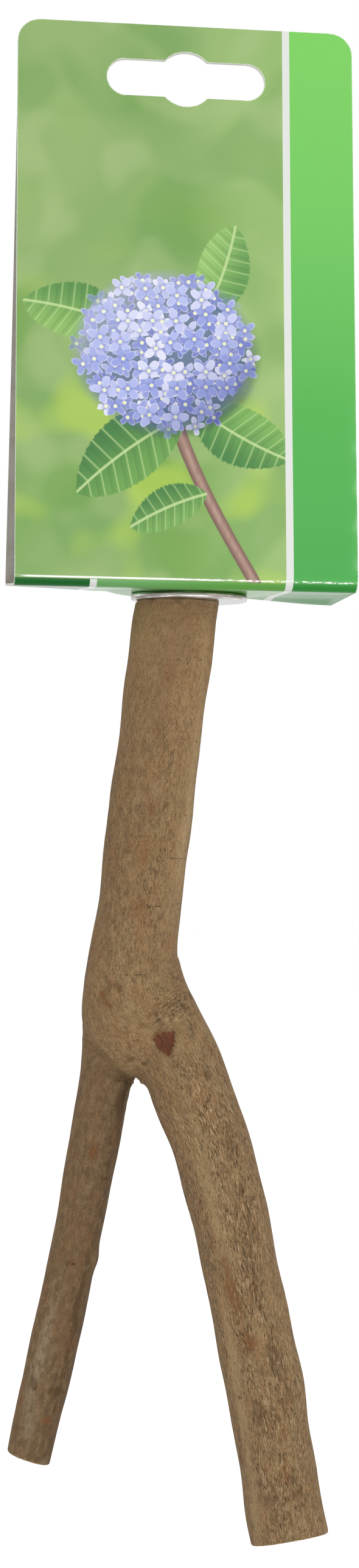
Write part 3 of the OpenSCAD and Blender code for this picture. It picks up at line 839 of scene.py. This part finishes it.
def threadRows(low, high, pitch, deep, radiusAt, sides, perTurn):
    # helix as a grid: r = outer - deep * |saw(phase)|, where phase = height / pitch - angle / turn
    z = np.linspace(low, high, int((high - low) / pitch * perTurn) + 1)[:, None]
    angle = (np.arange(sides) * 2 * math.pi / sides)[None, :]
    phase = (z / pitch - angle / (2 * math.pi)) % 1.0
    crest = np.clip(np.abs(phase - 0.5) * 2 * 1.25 - 0.1, 0, 1)
    return turned(radiusAt(z) - deep(z) * crest, z, sides)


def buildBolt(material):
    # rings from the wood point up to the chamfered end; flat n-gons close both ends
    m = metal
    sides = 48
    pointTop = -m["boltIn"] + m["point"]
    screw = threadRows(
        -m["boltIn"], -m["shank"] - 0.4, m["woodPitch"],
        lambda z: m["woodDeep"] * smoothStep(-m["boltIn"], pointTop, z)
        * smoothStep(-m["shank"] - 0.4, -6.5, z) + 0.36 * smoothStep(-6.5, -m["shank"] - 0.4, z),
        lambda z: m["boltR"] * (0.2 + 0.8 * smoothStep(-m["boltIn"], pointTop, z)), sides, 18)
    top = m["boltOut"]
    machine = threadRows(
        0.3, top - 0.15, m["pitch"],
        lambda z: m["threadDeep"] * smoothStep(0.3, 1.6, z) * smoothStep(top - 0.15, top - 1.1, z)
        + 0.1 * smoothStep(1.6, 0.3, z),
        lambda z: m["boltR"] - m["chamfer"] * smoothStep(top - 0.9, top - 0.1, z), sides, 12)
    shank = m["boltR"] * 0.88
    rows = np.concatenate([screw, turned(shank, np.array([[-m["shank"]], [-0.4], [0.0]]), sides), machine,
                           turned(m["boltR"] - m["chamfer"] - 0.1, np.array([[top]]), sides)])
    faces = gridFaces(len(rows), sides) + endFaces(len(rows), sides)
    piece = makePiece("hanger_bolt_threaded", rows.reshape(-1, 3), faces, [material])
    piece.data.set_sharp_from_angle(angle=math.radians(50))
    return piece


def nutField(p):
    # cast wing nut: tapered hub and two wings melted together, less the bore
    m = metal
    turn = math.radians(m["nutTurn"])
    z = p[:, 2] - m["nutZ"]
    x = np.abs(p[:, 0] * math.cos(turn) + p[:, 1] * math.sin(turn))
    y = p[:, 1] * math.cos(turn) - p[:, 0] * math.sin(turn)
    r = np.hypot(p[:, 0], p[:, 1])
    taper = m["hubR"] + (m["hubTopR"] - m["hubR"]) * np.clip(z / m["hubHigh"], 0, 1)
    hub = roundCut(roundCut(r - taper, z - m["hubHigh"], m["hubRound"]), -z, 0.15)
    # a wing is the hull of its root and its round lobe, thinner towards its rim
    rootX, rootZ = 0.62 * m["hubR"], 0.42 * m["hubHigh"]
    lobeX, lobeZ = m["wingSpan"] / 2 - m["lobe"], m["wingHigh"] - m["lobe"]
    runX, runZ = lobeX - rootX, lobeZ - rootZ
    t = np.clip(((x - rootX) * runX + (z - rootZ) * runZ) / (runX ** 2 + runZ ** 2), 0, 1)
    width = m["wingRoot"] + (m["lobe"] - m["wingRoot"]) * t
    outline = np.hypot(x - rootX - t * runX, z - rootZ - t * runZ) - width
    half = m["wingT"] / 2 + 0.35 * (1 - t) - 0.12 * smoothStep(-2.5, 0, outline)
    wing = roundCut(outline, np.abs(y) - half, 0.7)
    k = m["melt"]
    h = np.maximum(k - np.abs(hub - wing), 0) / k
    body = roundCut(np.minimum(hub, wing) - h * h * k / 4, -z, 0.1)
    flare = 0.5 * smoothStep(0.9, 0, z) + 0.5 * smoothStep(m["hubHigh"] - 0.9, m["hubHigh"], z)
    bore = m["boltR"] + m["boreGap"] + flare
    return roundCut(body, bore - r, 0.12)


def buildWingNut(material):
    # a rough hub and wing plates fused, then settled on the nut's field and given a cast skin
    m = metal
    profile = np.array(((m["boltR"] + 0.1, 0), (m["hubR"], 0), (m["hubTopR"], m["hubHigh"]),
                        (m["boltR"] + 0.1, m["hubHigh"])))
    hub = turned(profile[:, :1], m["nutZ"] + profile[:, 1:], 48).reshape(-1, 3)
    faces = gridFaces(4, 48, 0, True)
    points = [hub]
    turn = math.radians(m["nutTurn"])
    lobeX, lobeZ = m["wingSpan"] / 2 - m["lobe"], m["wingHigh"] - m["lobe"]
    around = np.linspace(-0.35 * math.pi, 0.85 * math.pi, 24)
    lobe = np.stack([lobeX + m["lobe"] * np.cos(around), lobeZ + m["lobe"] * np.sin(around)], 1)
    outline = np.vstack([lobe, [[3.6, 5.4], [3.6, 0.8], [5.2, 0.5]]])
    for way in (1, -1):
        start = sum(len(part) for part in points)
        plate = [np.stack([way * outline[:, 0], 0 * outline[:, 0] + way * side, outline[:, 1] + m["nutZ"]], 1)
                 for side in (-m["wingT"] / 2, m["wingT"] / 2)]
        plate = np.vstack(plate)
        plate[:, :2] = plate[:, :2] @ np.array([[math.cos(turn), math.sin(turn)],
                                                [-math.sin(turn), math.cos(turn)]])
        points.append(plate)
        faces += gridFaces(2, len(outline), start) + endFaces(2, len(outline), start)
    piece = fuse("wing_nut_cast", np.vstack(points), faces, 0.2, [material])
    mesh = piece.data
    settled, out = settle(nutField, readPoints(mesh), 6)
    skin = 0.035 * latticeNoise(settled / 0.9, 31) + 0.02 * latticeNoise(settled / 0.45, 32)
    bored = smoothStep(3.3, 3.7, np.hypot(settled[:, 0], settled[:, 1]))
    settled = settled + out * (skin * bored - 0.04)[:, None]
    settled[:, 2] = np.maximum(settled[:, 2], m["nutZ"])
    writePoints(mesh, settled)
    print("wing nut:", len(mesh.polygons), "faces")
    return piece


sheetZinc = zincPlate("zincPlatedSheetSteel", (7.0, 7.0, 0.3), rimTints, 0.2)
barZinc = zincPlate("zincPlatedThread", (0.3, 0.3, 0.3), brightTints, 0.3)
castZinc = zincPlate("zincPlatedCasting", (0.3, 0.3, 0.3), brightTints, 0.38)
for node, height in (("lower_washer", 0.0), ("upper_washer", metal["upperZ"])):
    washer = buildWasher(node + "_blanked", height, sheetZinc)
    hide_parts(node)
    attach(washer, node)
bolt = buildBolt(barZinc)
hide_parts("hanger_bolt")
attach(bolt, "perch")
wingNut = buildWingNut(castZinc)
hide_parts("wing_nut")
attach(wingNut, "wing_nut")
print("metal made")

# the folded display card

card = {
    "width": 68.96, "panel": 117.48, "board": 0.45, "foldR": 3.0, "rearFoldR": 1.8,
    "frontY": -17.47, "rearY": 15.58, "topShare": 0.5, "baseZ": 1.5, "x": -1.35,
    "bow": 1.2, "corner": 4.6, "holeR": 4.5,
    "slotLong": 32.5, "slotHigh": 7.8, "eyeR": 5.8, "slotDown": 11.4, "slotMargin": 0.8,
    "curl": 1.1,            # how far the base's right rear corner hangs down
    "lift": (1.9, 0.8, 0.4),     # how far the base's rear edge stands up at its left, middle and right
    "edgeCurl": 0.24,       # how far the front's right edge turns back near its foot
    "clampR": 13.4,         # the washers hold the base flat within this radius of the bolt
    "dish": 0.36,           # how far the panels bulge in their middle
    "twist": 0.25,          # how far they turn out of true at their side edges
    "bandAt": (54.35, 55.85),    # across the card, where the white rule beside the band starts and ends
    "baseAt": (15.05, 16.45),    # the same beside the base's dark strip, and beside the rear's band
    "rearAt": (13.15, 14.55),
    "uvSpan": 310.0,        # millimetres of sheet to one unit of UV
}


def cardProfile():
    # the sheet's outer face as (y, z) points, from the front's top edge round both folds to the rear's
    c = card
    topY = c["frontY"] + c["topShare"] * (c["rearY"] - c["frontY"])
    lean = math.asin((topY - c["frontY"]) / c["panel"])
    up, inward = np.array([math.sin(lean), math.cos(lean)]), np.array([math.cos(lean), -math.sin(lean)])
    frontTop = np.array([c["frontY"], c["baseZ"]]) + c["panel"] * up
    rearTop = frontTop + 2 * c["board"] * inward
    stuck = c["slotDown"] + c["eyeR"] + c["slotMargin"]
    meet = rearTop - stuck * up
    rearLean = math.atan((c["rearY"] - meet[0]) / (meet[1] - c["baseZ"]))
    frontOff = c["foldR"] * (1 + math.sin(lean)) / math.cos(lean)
    rearOff = c["rearFoldR"] * (1 + math.sin(rearLean)) / math.cos(rearLean)
    arcs = []
    for centre, r, start, end in (
            ((c["frontY"] + frontOff, c["baseZ"] + c["foldR"]), c["foldR"], math.pi - lean, 1.5 * math.pi),
            ((c["rearY"] - rearOff, c["baseZ"] + c["rearFoldR"]), c["rearFoldR"], 1.5 * math.pi,
             2 * math.pi + rearLean)):
        a = np.linspace(start, end, 41)
        arcs.append(np.stack([centre[0] + r * np.cos(a), centre[1] + r * np.sin(a)], 1))
    t = np.linspace(0, 1, 60)[1:, None]
    rear = arcs[1][-1] + t * (meet - arcs[1][-1])
    rear = rear + c["bow"] * np.sin(math.pi * t) * np.array([-math.cos(rearLean), -math.sin(rearLean)])
    line = np.vstack([frontTop + np.linspace(0, 1, 30)[:-1, None] * (arcs[0][0] - frontTop),
                      arcs[0], arcs[1], rear, rearTop])
    s = np.concatenate([[0], np.cumsum(np.linalg.norm(np.diff(line, axis=0), axis=1))])
    return s, line, {"fold": s[29], "foldEnd": s[69], "rearFold": s[70], "rearFoldEnd": s[110], "end": s[-1],
                     "hole": s[69] - c["frontY"] - frontOff}


def arcPoints(centre, r, start, end, steps):
    # centre + r (cos a, sin a) from start to end in degrees
    a = np.radians(np.linspace(start, end, steps))
    return np.stack([centre[0] + r * np.cos(a), centre[1] + r * np.sin(a)], 1)


def slotOutline(middle):
    # a long slot with round ends and a round eye in its middle, as one outline
    c = card
    half, reach = c["slotHigh"] / 2, c["slotLong"] / 2 - c["slotHigh"] / 2
    eye = math.degrees(math.asin(half / c["eyeR"]))
    return np.vstack([
        arcPoints((reach, middle), half, -90, 90, 15),
        arcPoints((0, middle), c["eyeR"], eye, 180 - eye, 19),
        arcPoints((-reach, middle), half, 90, 270, 15),
        arcPoints((0, middle), c["eyeR"], 180 + eye, 360 - eye, 19)])


def insideLoop(points, loop):
    # even-odd rule: how often a ray to the right crosses the loop
    x, y = points[:, :1], points[:, 1:]
    a, b = loop, np.roll(loop, -1, 0)
    spans = (a[:, 1] > y) != (b[:, 1] > y)
    rise = np.where(b[:, 1] == a[:, 1], 1e-9, b[:, 1] - a[:, 1])
    reach = a[:, 0] + (y - a[:, 1]) / rise * (b[:, 0] - a[:, 0])
    return ((spans & (x < reach)).sum(1) % 2).astype(bool)


def cardBlank(places):
    # the flat sheet as (across, along) points and triangles: die-cut outline, two slots, bolt hole and inner
    # grid; and each point's distance from the nearest cut edge
    c = card
    half, end, r = c["width"] / 2, places["end"], c["corner"]
    fold, foldEnd, rearFold, rearFoldEnd = (places[k] for k in ("fold", "foldEnd", "rearFold", "rearFoldEnd"))
    # the outline's straight runs get points too, so that they bend with the folds
    side = np.concatenate([np.arange(8, fold, 4.0), np.linspace(fold, foldEnd, 15),
                           np.linspace(rearFold, rearFoldEnd, 13), np.arange(rearFoldEnd + 4, end - 6, 4.0)])
    outline = np.vstack([
        arcPoints((half - r, r), r, -90, 0, 12), np.column_stack([np.full(len(side), half), side]),
        arcPoints((half - r, end - r), r, 0, 90, 12), arcPoints((-half + r, end - r), r, 90, 180, 12),
        np.column_stack([np.full(len(side), -half), side[::-1]]), arcPoints((-half + r, r), r, 180, 270, 12)])
    loops = [outline, slotOutline(c["slotDown"]), slotOutline(end - c["slotDown"]),
             arcPoints((0, places["hole"]), c["holeR"], 0, 360, 49)[:-1]]
    onSheet = lambda p: insideLoop(p, outline) & ~np.any([insideLoop(p, hole) for hole in loops[1:]], axis=0)
    loopGap = lambda p, loop: np.linalg.norm(p[:, None] - loop[None], axis=2).min(1)
    edgeGap = lambda p: np.min([loopGap(p, loop) for loop in loops], axis=0)
    rows = np.unique(np.round(np.concatenate([
        np.arange(1.6, fold - 0.4, 1.6), [fold - 0.3, foldEnd + 0.3, rearFold - 0.3, rearFoldEnd + 0.3], side,
        np.arange(foldEnd + 1.2, rearFold - 0.6, 1.4), np.arange(rearFoldEnd + 1.2, end - 1, 1.6)]), 3))
    grid = np.stack(np.meshgrid(np.linspace(-half, half, 44)[1:-1], rows), -1).reshape(-1, 2)
    points = np.vstack(loops + [grid[onSheet(grid) & (edgeGap(grid) > 0.5)]])
    edges, start = [], 0
    for loop in loops:
        order = np.arange(len(loop))
        edges += np.stack([start + order, start + np.roll(order, -1)], 1).tolist()
        start += len(loop)
    flat, _, triangles = delaunay_2d_cdt([Vector(p) for p in points.tolist()], edges, [], 1, 1e-4)[:3]
    flat, triangles = np.array([(v.x, v.y) for v in flat]), np.array(triangles)
    return flat, triangles[onSheet(flat[triangles].mean(1))], edgeGap(flat)


def foldSheet(flat, s, line, places):
    # lays the flat sheet along the folded profile: (across, y(s), z(s)), with the slight give of board:
    # the panels dish a little, the base's rear edge stands up outside the washers, and its right corner hangs
    c = card
    across, along = flat[:, 0], flat[:, 1]
    y, z = np.interp(along, s, line[:, 0]), np.interp(along, s, line[:, 1])
    x = across + c["x"]
    panel = smoothStep(places["fold"] * 0.98, places["fold"] * 0.7, along) \
        + smoothStep(places["rearFoldEnd"] + 4, places["rearFoldEnd"] + 30, along)
    height = np.clip((z - c["baseZ"]) / c["panel"], 0, 1)
    dish = c["dish"] * np.sin(math.pi * height) * np.cos(math.pi * across / c["width"])
    twist = c["twist"] * (across / 34.5) * np.sin(math.pi * height * 0.9)
    edge = smoothStep(32.6, 34.5, across) * smoothStep(60, 90, along) * (along < places["foldEnd"])
    edge = edge * (0.75 + 0.25 * np.sin(along * 0.8))
    turnedBack = c["edgeCurl"] * edge * smoothStep(places["fold"] + 4, places["fold"] - 2, along)
    y = y + panel * (dish + twist) + turnedBack
    corner = smoothStep(8, 34.5, across) * np.exp(-((along - places["rearFold"] - 1) / 7.0) ** 2)
    rise = np.interp(across, (-c["width"] / 2, 0, c["width"] / 2), c["lift"])
    back = smoothStep(c["frontY"] + c["foldR"], c["rearY"], y) * smoothStep(c["clampR"], 18.0, np.hypot(x, y))
    # the rear panel takes the rise up in its first 40 mm
    fade = smoothStep(places["rearFoldEnd"] + 40, places["rearFoldEnd"], along)
    back = back * (along > places["fold"] + 3) * fade
    z = z - c["curl"] * corner + rise * back
    return np.stack([x, y, z], 1)


def buildCard(profile, materials):
    # the folded blank given its thickness on the inside; print outside, plain board inside, cut edge between
    s, line, places = profile
    flat, triangles, rim = cardBlank(places)
    points = foldSheet(flat, s, line, places)
    sheet = makePiece("display_card_sheet", points, triangles.tolist(), materials)
    mesh = sheet.data
    # the printed face is the one that faces away from the tent's inside
    front = min(mesh.polygons, key=lambda face: face.center.y + abs(face.center.z - 0.05))
    if front.normal.y > 0:
        mesh.flip_normals()
    addAttribute(mesh, "rim", rim)
    uv = mesh.uv_layers.new(name="sheet")
    corner = np.empty(len(mesh.loops), np.int32)
    mesh.loops.foreach_get("vertex_index", corner)
    spread = np.stack([(flat[:, 0] + card["width"] / 2), flat[:, 1]], 1) / card["uvSpan"]
    uv.data.foreach_set("uv", spread[corner].ravel())
    wall = sheet.modifiers.new("board", "SOLIDIFY")
    wall.thickness = (card["board"] - 0.01) * mm
    wall.offset = -1.0
    wall.material_offset = 1
    wall.material_offset_rim = 2
    made = bpy.data.meshes.new_from_object(sheet.evaluated_get(bpy.context.evaluated_depsgraph_get()))
    sheet.modifiers.clear()
    sheet.data = made
    made.name = "display_card_sheet"
    made.shade_smooth()
    made.set_sharp_from_angle(angle=math.radians(40))
    print("card:", len(made.polygons), "faces")
    return sheet


blossom = {
    "head": (30.0, 47.0, 17.5, 16.0),    # middle across and up the card, half width and half height
    # size of the florets, shift of their pattern, light and dark petals, how far a layer outgrows the head
    "florets": ((3.6, 7.7, "#8794cf", "#6b77bd", 0.4), (4.3, 1.9, "#98a4dd", "#7884cc", 0.0),
                (5.0, 4.4, "#b1baea", "#8c99dc", -1.2)),
    # foot across and up, angle, length, half width, light and dark side
    "leaves": (((34.0, 34.0), 208, 27.0, 7.0, "#6ba04b", "#3d7a3c"),
               ((36.0, 36.0), -38, 22.0, 6.4, "#7cb158", "#44823f"),
               ((22.0, 52.0), 158, 21.0, 6.0, "#8dbb62", "#558f46"),
               ((38.0, 55.0), 62, 20.0, 5.6, "#98c46c", "#5f984b"),
               ((38.5, 18.0), 196, 17.0, 4.4, "#79ab56", "#457f3e")),
    "twigWidth": 2.8,
}


def printFlorets(put, flat, size, shift, light, dark):
    # four-petalled florets, one to a Voronoi cell: within a radius of size * 0.56 (0.74 + 0.3 cos 4a)
    cell = put("TexVoronoi", put("shift", flat, (shift, shift, 0)), {"Scale": 1 / size, "Randomness": 0.6},
               voronoi_dimensions="2D")
    home = put("shift", cell["Position"], (-shift, -shift, 0))
    own = put("stretch", put("between", flat, home), (1, 1, 0))
    spin = put("SeparateColor", cell["Color"])
    right, up, _ = put("split", own)
    r = put("length", own)
    lobes = put("cosine", (put("arctan2", up, right) + spin * (2 * math.pi)) * 4)
    inner = (lobes * 0.3 + 0.74) * (0.56 * size) - r
    tone = layColours(put, put("ramp", spin[1], stops=((0, dark), (0.55, light), (1, "#e6e6f6"))),
                      (put("smooth", inner, 0.5, 0) * 0.45, "#f1effa"),
                      (put("smooth", lobes, -0.35, -1) * 0.55, "#5d68b4"),
                      (put("smooth", r, 1.1, 0.4) * 0.55, "#7d84c6"),
                      (put("smooth", r, 0.46, 0.34), "#e9edc9"))
    return put("smooth", inner, -0.08, 0.14), tone, home


def printLeaf(put, picture, across, up, foot, angle, length, width, light, dark):
    # a leaf along its own axis p: half width w (4p(1-p))^0.72 with a saw edge, and ribs that slant forward
    x, y = across - foot[0], up - foot[1]
    c, s = math.cos(math.radians(angle)), math.sin(math.radians(angle))
    p = (x * c + y * s) / length
    q = y * c - x * s - p * p * (0.16 * length)
    side = put("absolute", q)
    hump = p * (1 - p) * 4
    half = put("power", put("maximum", hump, 0), 0.72) * width
    saw = put("fract", p * 19) * 0.3
    mask = put("smooth", half + saw - side, 0.1, 0.5) * put("smooth", hump, 0, 0.03)
    rib = put("fract", p * 8.5 - side / (width * 1.5))
    blade = layColours(put, put("mix", put("smooth", q, -width, width), dark, light),
                       (put("smooth", rib, 0.5, 1) * 0.22, "#2f5e2c"),
                       (put("smooth", put("absolute", rib - 0.5), 0.1, 0.02) * 0.5, "#b6d68c"),
                       (put("smooth", side, 0.42, 0.12) * 0.8, "#c3dc98"))
    return put("mix", mask, picture, blade)


def printBlossom(put, picture, flat, across, up, printLine):
    # a woody twig, leaves, and a round head of florets in three layers, lit from its upper left
    lineX = put("sine", up * 0.06) * -3 + (48 - up * 0.4)
    side = (across - lineX) * 0.9
    half = blossom["twigWidth"] / 2
    bark = put("noise", put("stretch", flat, (0.9, 0.22, 1)), 1, 3)
    barkTone = put("ramp", put("smooth", side, -half, half), stops=(
        (0, "#6f5148"), (0.35, "#a98878"), (0.6, "#b39485"), (1, "#7a5a50")))
    barkTone = put("mix", put("smooth", bark, 0.45, 0.65) * 0.4, barkTone, "#8a6a5e")
    twig = put("smooth", put("absolute", side), half, half - 0.2) * put("smooth", up, 41, 38)
    picture = put("mix", twig, picture, barkTone)
    for leaf in blossom["leaves"]:
        picture = printLeaf(put, picture, across, up, *leaf)
    middleX, middleY, halfWidth, halfHeight = blossom["head"]

    def headReach(x, y, grow):
        # 1 on the head's outline, an ellipse about its middle
        dx, dy = (x - middleX) / (halfWidth + grow), (y - middleY) / (halfHeight + grow)
        return put("sqrt", dx * dx + dy * dy)

    reach = headReach(across, up, 0)
    picture = put("mix", put("smooth", reach, 1.12, 0.86) * 0.8, picture, "#56649c")
    for size, shift, light, dark, grow in blossom["florets"]:
        petal, tone, home = printFlorets(put, flat, size, shift, light, dark)
        homeX, homeAlong, _ = put("split", home)
        inside = put("smooth", headReach(homeX, printLine - homeAlong, grow), 1.02, 0.98)
        picture = put("mix", petal * inside, picture, tone)
    shade = (across - middleX) * 0.018 + (up - middleY) * -0.022
    dim = put("smooth", shade, 0.05, 0.6) * put("smooth", reach, 1.16, 1.04)
    picture = put("mix", dim * 0.55, picture, "#4d5a96", blend_type="MULTIPLY")
    glow = put("smooth", shade, 0, -0.55) * put("smooth", reach, 1.1, 0.95)
    return put("mix", glow * 0.22, picture, "#ffffff")


def printedBoard(places):
    # white-lined board, offset printed and varnished: the ink lies under a smooth, slightly uneven gloss.
    # The print is a soft garden green with a white rule, a plain green band, and a spray of blossom.
    material, put = newMaterial("printedVarnishedBoard")
    # millimetres across the card from its left edge, and along it from the front's top edge round both folds
    flat = put("stretch", put("UVMap", uv_map="sheet"), (card["uvSpan"], card["uvSpan"], 1))
    across, along, _ = put("split", flat)
    fold, rearFold = float(places["fold"]), float(places["rearFold"])
    printLine, rearLine, soft = fold + 2.1, rearFold + 1.2, 0.05
    up = printLine - along
    # 1 past an edge in the print
    after = lambda edge, line=across: put("smooth", line, edge - soft, edge + soft)

    # out-of-focus ground: blobs 30, 17, 12 and 15 mm wide, yellower to the right and deeper at the foot
    blobs = []
    for size, shift in ((30, 3.3), (17, 15.7), (12, 9.1), (15, 27)):
        moved = put("Mapping", {"Vector": flat, "Location": (shift, shift, 0), "Scale": (1 / size,) * 3})
        blobs.append(put("noise", moved, 1, 0.5))
    lush = put("smooth", blobs[3], 0.5, 0.68) * put("range", up, 70, 35, 0.08, 1)
    ground = layColours(
        put, put("ramp", blobs[0], stops=((0.34, "#74a04c"), (0.48, "#84a861"), (0.6, "#8fae69"))),
        (put("smooth", across, 30, 50) * 0.55, "#a2c478"),
        (put("smooth", blobs[1], 0.5, 0.66) * 0.45, "#67994a"),
        (put("smooth", blobs[2], 0.5, 0.68) * 0.35, "#acc284"),
        (lush * 0.6, "#b5d24c"))
    picture = printBlossom(put, ground, flat, across, up, printLine)

    # band, rules and base, by their places across and along the sheet; all rules are one white
    white = "#dfe1dc"
    rule, pastRule, baseRule, pastBaseRule, rearRule, pastRearRule = (
        after(edge) for edge in card["bandAt"] + card["baseAt"] + card["rearAt"])
    bandTone = put("ramp", along / fold, stops=(
        (0, "#78cd59"), (0.35, "#6ec459"), (0.7, "#51b04c"), (1, "#45a648")))
    field = put("mix", put("smooth", across, 20, 44), "#6fa866", "#62a148")
    front = layColours(put, picture, (rule, white), (pastRule, bandTone))
    base = layColours(put, "#1f652b", (baseRule, white), (pastBaseRule, field), (rule, white),
                      (pastRule, "#338c39"))
    # the rear is plain: the same ground, with the band and rule in mirror order and a paler field
    rear = layColours(put, "#5fbb54", (rearRule, white),
                      (pastRearRule, put("mix", 0.45, ground, "#dfe9cf")))
    ink = layColours(put, front, (after(printLine, along), base), (after(rearLine, along), rear))
    # painted highlight: a white line along the scored front fold, where the gloss catches a light, in dashes
    # towards the right;
    # and the ink is rubbed off the cut edges in a line 0.2 mm wide
    scoreLine = fold + card["foldR"] * math.radians(33)
    grit = put("noise", put("stretch", flat, (0.8, 2.5, 1)), 1, 3)
    # worn breaks the painted highlight into dashes towards the right
    worn = put("smooth", grit, 0.45, 0.55) * put("range", across, 32, 58, 0, 0.26)
    offLine = put("absolute", along - scoreLine) + grit * 0.12 + worn
    foldHighlight = put("smooth", offLine, 0.29, 0.19) * put("smooth", across, 0.6, 3)
    rubbed = put("smooth", put("Attribute", attribute_name="rim")["Fac"] + grit * 0.4, 0.42, 0.26) * 0.5
    ink = layColours(put, ink, (foldHighlight, "#f4f7f0"), (rubbed, "#f4f7f0"))

    # varnish: a slow orange peel of 1.6 mm and board fibres of 0.3 mm
    peel, fibre = (put("noise", put("stretch", flat, (1 / size, 1 / size, 1)), 1, 2) for size in (1.6, 0.3))
    bump = put("Bump", {"Height": peel * 0.012 + fibre * 0.0012, "Strength": 1.0, "Distance": mm})
    # the varnish runs out round the front fold, so that the base hardly shines
    shine = put("range", along, scoreLine + 0.3, scoreLine + 1.1, 0.5, 0.03)
    shader = put("BsdfPrincipled", {
        "Base Color": ink, "Roughness": put("range", blobs[1], 0.3, 0.7, 0.12, 0.18), "IOR": 1.5,
        "Specular IOR Level": shine, "Normal": bump})
    put("OutputMaterial", shader)
    return material


def plainBoard():
    # the unprinted side of recycled grey-white board: matt, with a cloudy formation and short fibres
    material, put = newMaterial("greyWhiteBoard")
    place = put("TexCoord")["Object"]
    short = put("Mapping", {"Vector": place, "Scale": (1 / (1.2 * mm), 1 / (0.3 * mm), 1 / (0.3 * mm))})
    fibre = put("noise", short, 1, 4)
    tone = put("ramp", put("noise", place, 1 / (5 * mm), 5), stops=((0.3, "#b3afa5"), (0.7, "#c4c0b6")))
    shader = put("BsdfPrincipled", {
        "Base Color": put("mix", put("range", fibre, 0.58, 0.7, 0, 0.35), tone, "#8f8a7e"),
        "Roughness": 0.85, "IOR": 1.45, "Specular IOR Level": 0.25,
        "Normal": put("Bump", {"Height": fibre, "Strength": 0.4, "Distance": 0.03 * mm})})
    put("OutputMaterial", shader)
    return material


def cutBoardEdge():
    # die-cut edge of the board: pale and furry
    material, put = newMaterial("cutBoardEdge")
    fibre = put("noise", put("TexCoord")["Object"], 1 / (0.4 * mm), 4)
    shader = put("BsdfPrincipled", {
        "Base Color": put("ramp", fibre, stops=((0.35, "#d3d1c8"), (0.65, "#f4f3ee"))),
        "Roughness": 0.8, "IOR": 1.45, "Specular IOR Level": 0.2,
        "Normal": put("Bump", {"Height": fibre, "Strength": 0.5, "Distance": 0.05 * mm})})
    put("OutputMaterial", shader)
    return material


profile = cardProfile()
displayCard = buildCard(profile, [printedBoard(profile[2]), plainBoard(), cutBoardEdge()])
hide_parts("hang_card")
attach(displayCard, "hang_card")

# floor, backdrop and light

stage = {
    "floorZ": -226.0, "floorHalf": 3000.0,
    "ambient": 0.62,        # the world's light, where 1 would be a white room
    "lift": 0.45,           # what the camera and gloss see of the floor above its own light
}


def seenDirectly(put):
    # 1 for rays from the camera, from gloss and through glass, 0 for the light itself
    path = put("LightPath")
    seen = put("maximum", path["Is Camera Ray"], path["Is Glossy Ray"])
    return put("maximum", seen, path["Is Transmission Ray"])


def layFloor():
    # matt white paper that keeps the shadow; what the camera and gloss see of it is lifted to white
    half, z = stage["floorHalf"], stage["floorZ"]
    points = [(-half, -half, z), (half, -half, z), (half, half, z), (-half, half, z)]
    material, put = newMaterial("whiteFloorPaper")
    lift = put("Emission", "#ffffff", seenDirectly(put) * stage["lift"])
    put("OutputMaterial", put("AddShader", put("BsdfDiffuse", "#f0f0f0"), lift))
    floor = makePiece("floor", points, [[0, 1, 2, 3]], [material], False)


def setWorld():
    # white for what the camera, gloss and glass see; a plain soft level for the light itself
    world = bpy.data.worlds.new("softRoom")
    bpy.context.scene.world = world
    world.use_nodes = True
    world.node_tree.nodes.clear()
    put = partial(addNode, world.node_tree)
    strength = put("range", seenDirectly(put), 0, 1, stage["ambient"], 1)
    put("OutputWorld", put("Background", "#ffffff", strength))


def addLamp(name, place, aim, size, power):
    # a soft rectangular lamp at place, facing aim, both in millimetres
    light = bpy.data.lights.new(name, "AREA")
    light.shape = "RECTANGLE"
    light.size, light.size_y = size[0] * mm, size[1] * mm
    light.energy = power
    lamp = bpy.data.objects.new(name, light)
    bpy.context.scene.collection.objects.link(lamp)
    place, aim = Vector(place) * mm, Vector(aim) * mm
    facing = (aim - place).to_track_quat("-Z", "Y").to_matrix().to_4x4()
    lamp.matrix_world = Matrix.Translation(place) @ facing
    lamp.visible_camera = False
    return lamp


layFloor()
setWorld()
addLamp("keyFromRight", (900, -1100, 500), (0, 0, -40), (700, 900), 8.0)
addLamp("fillFromLeft", (-1000, -900, 200), (0, 0, -40), (800, 900), 2.2)
addLamp("lowFront", (-60, -260, -215), (0, -15, 0), (500, 40), 0.25)

bpy.context.scene.view_settings.view_transform = "Standard"
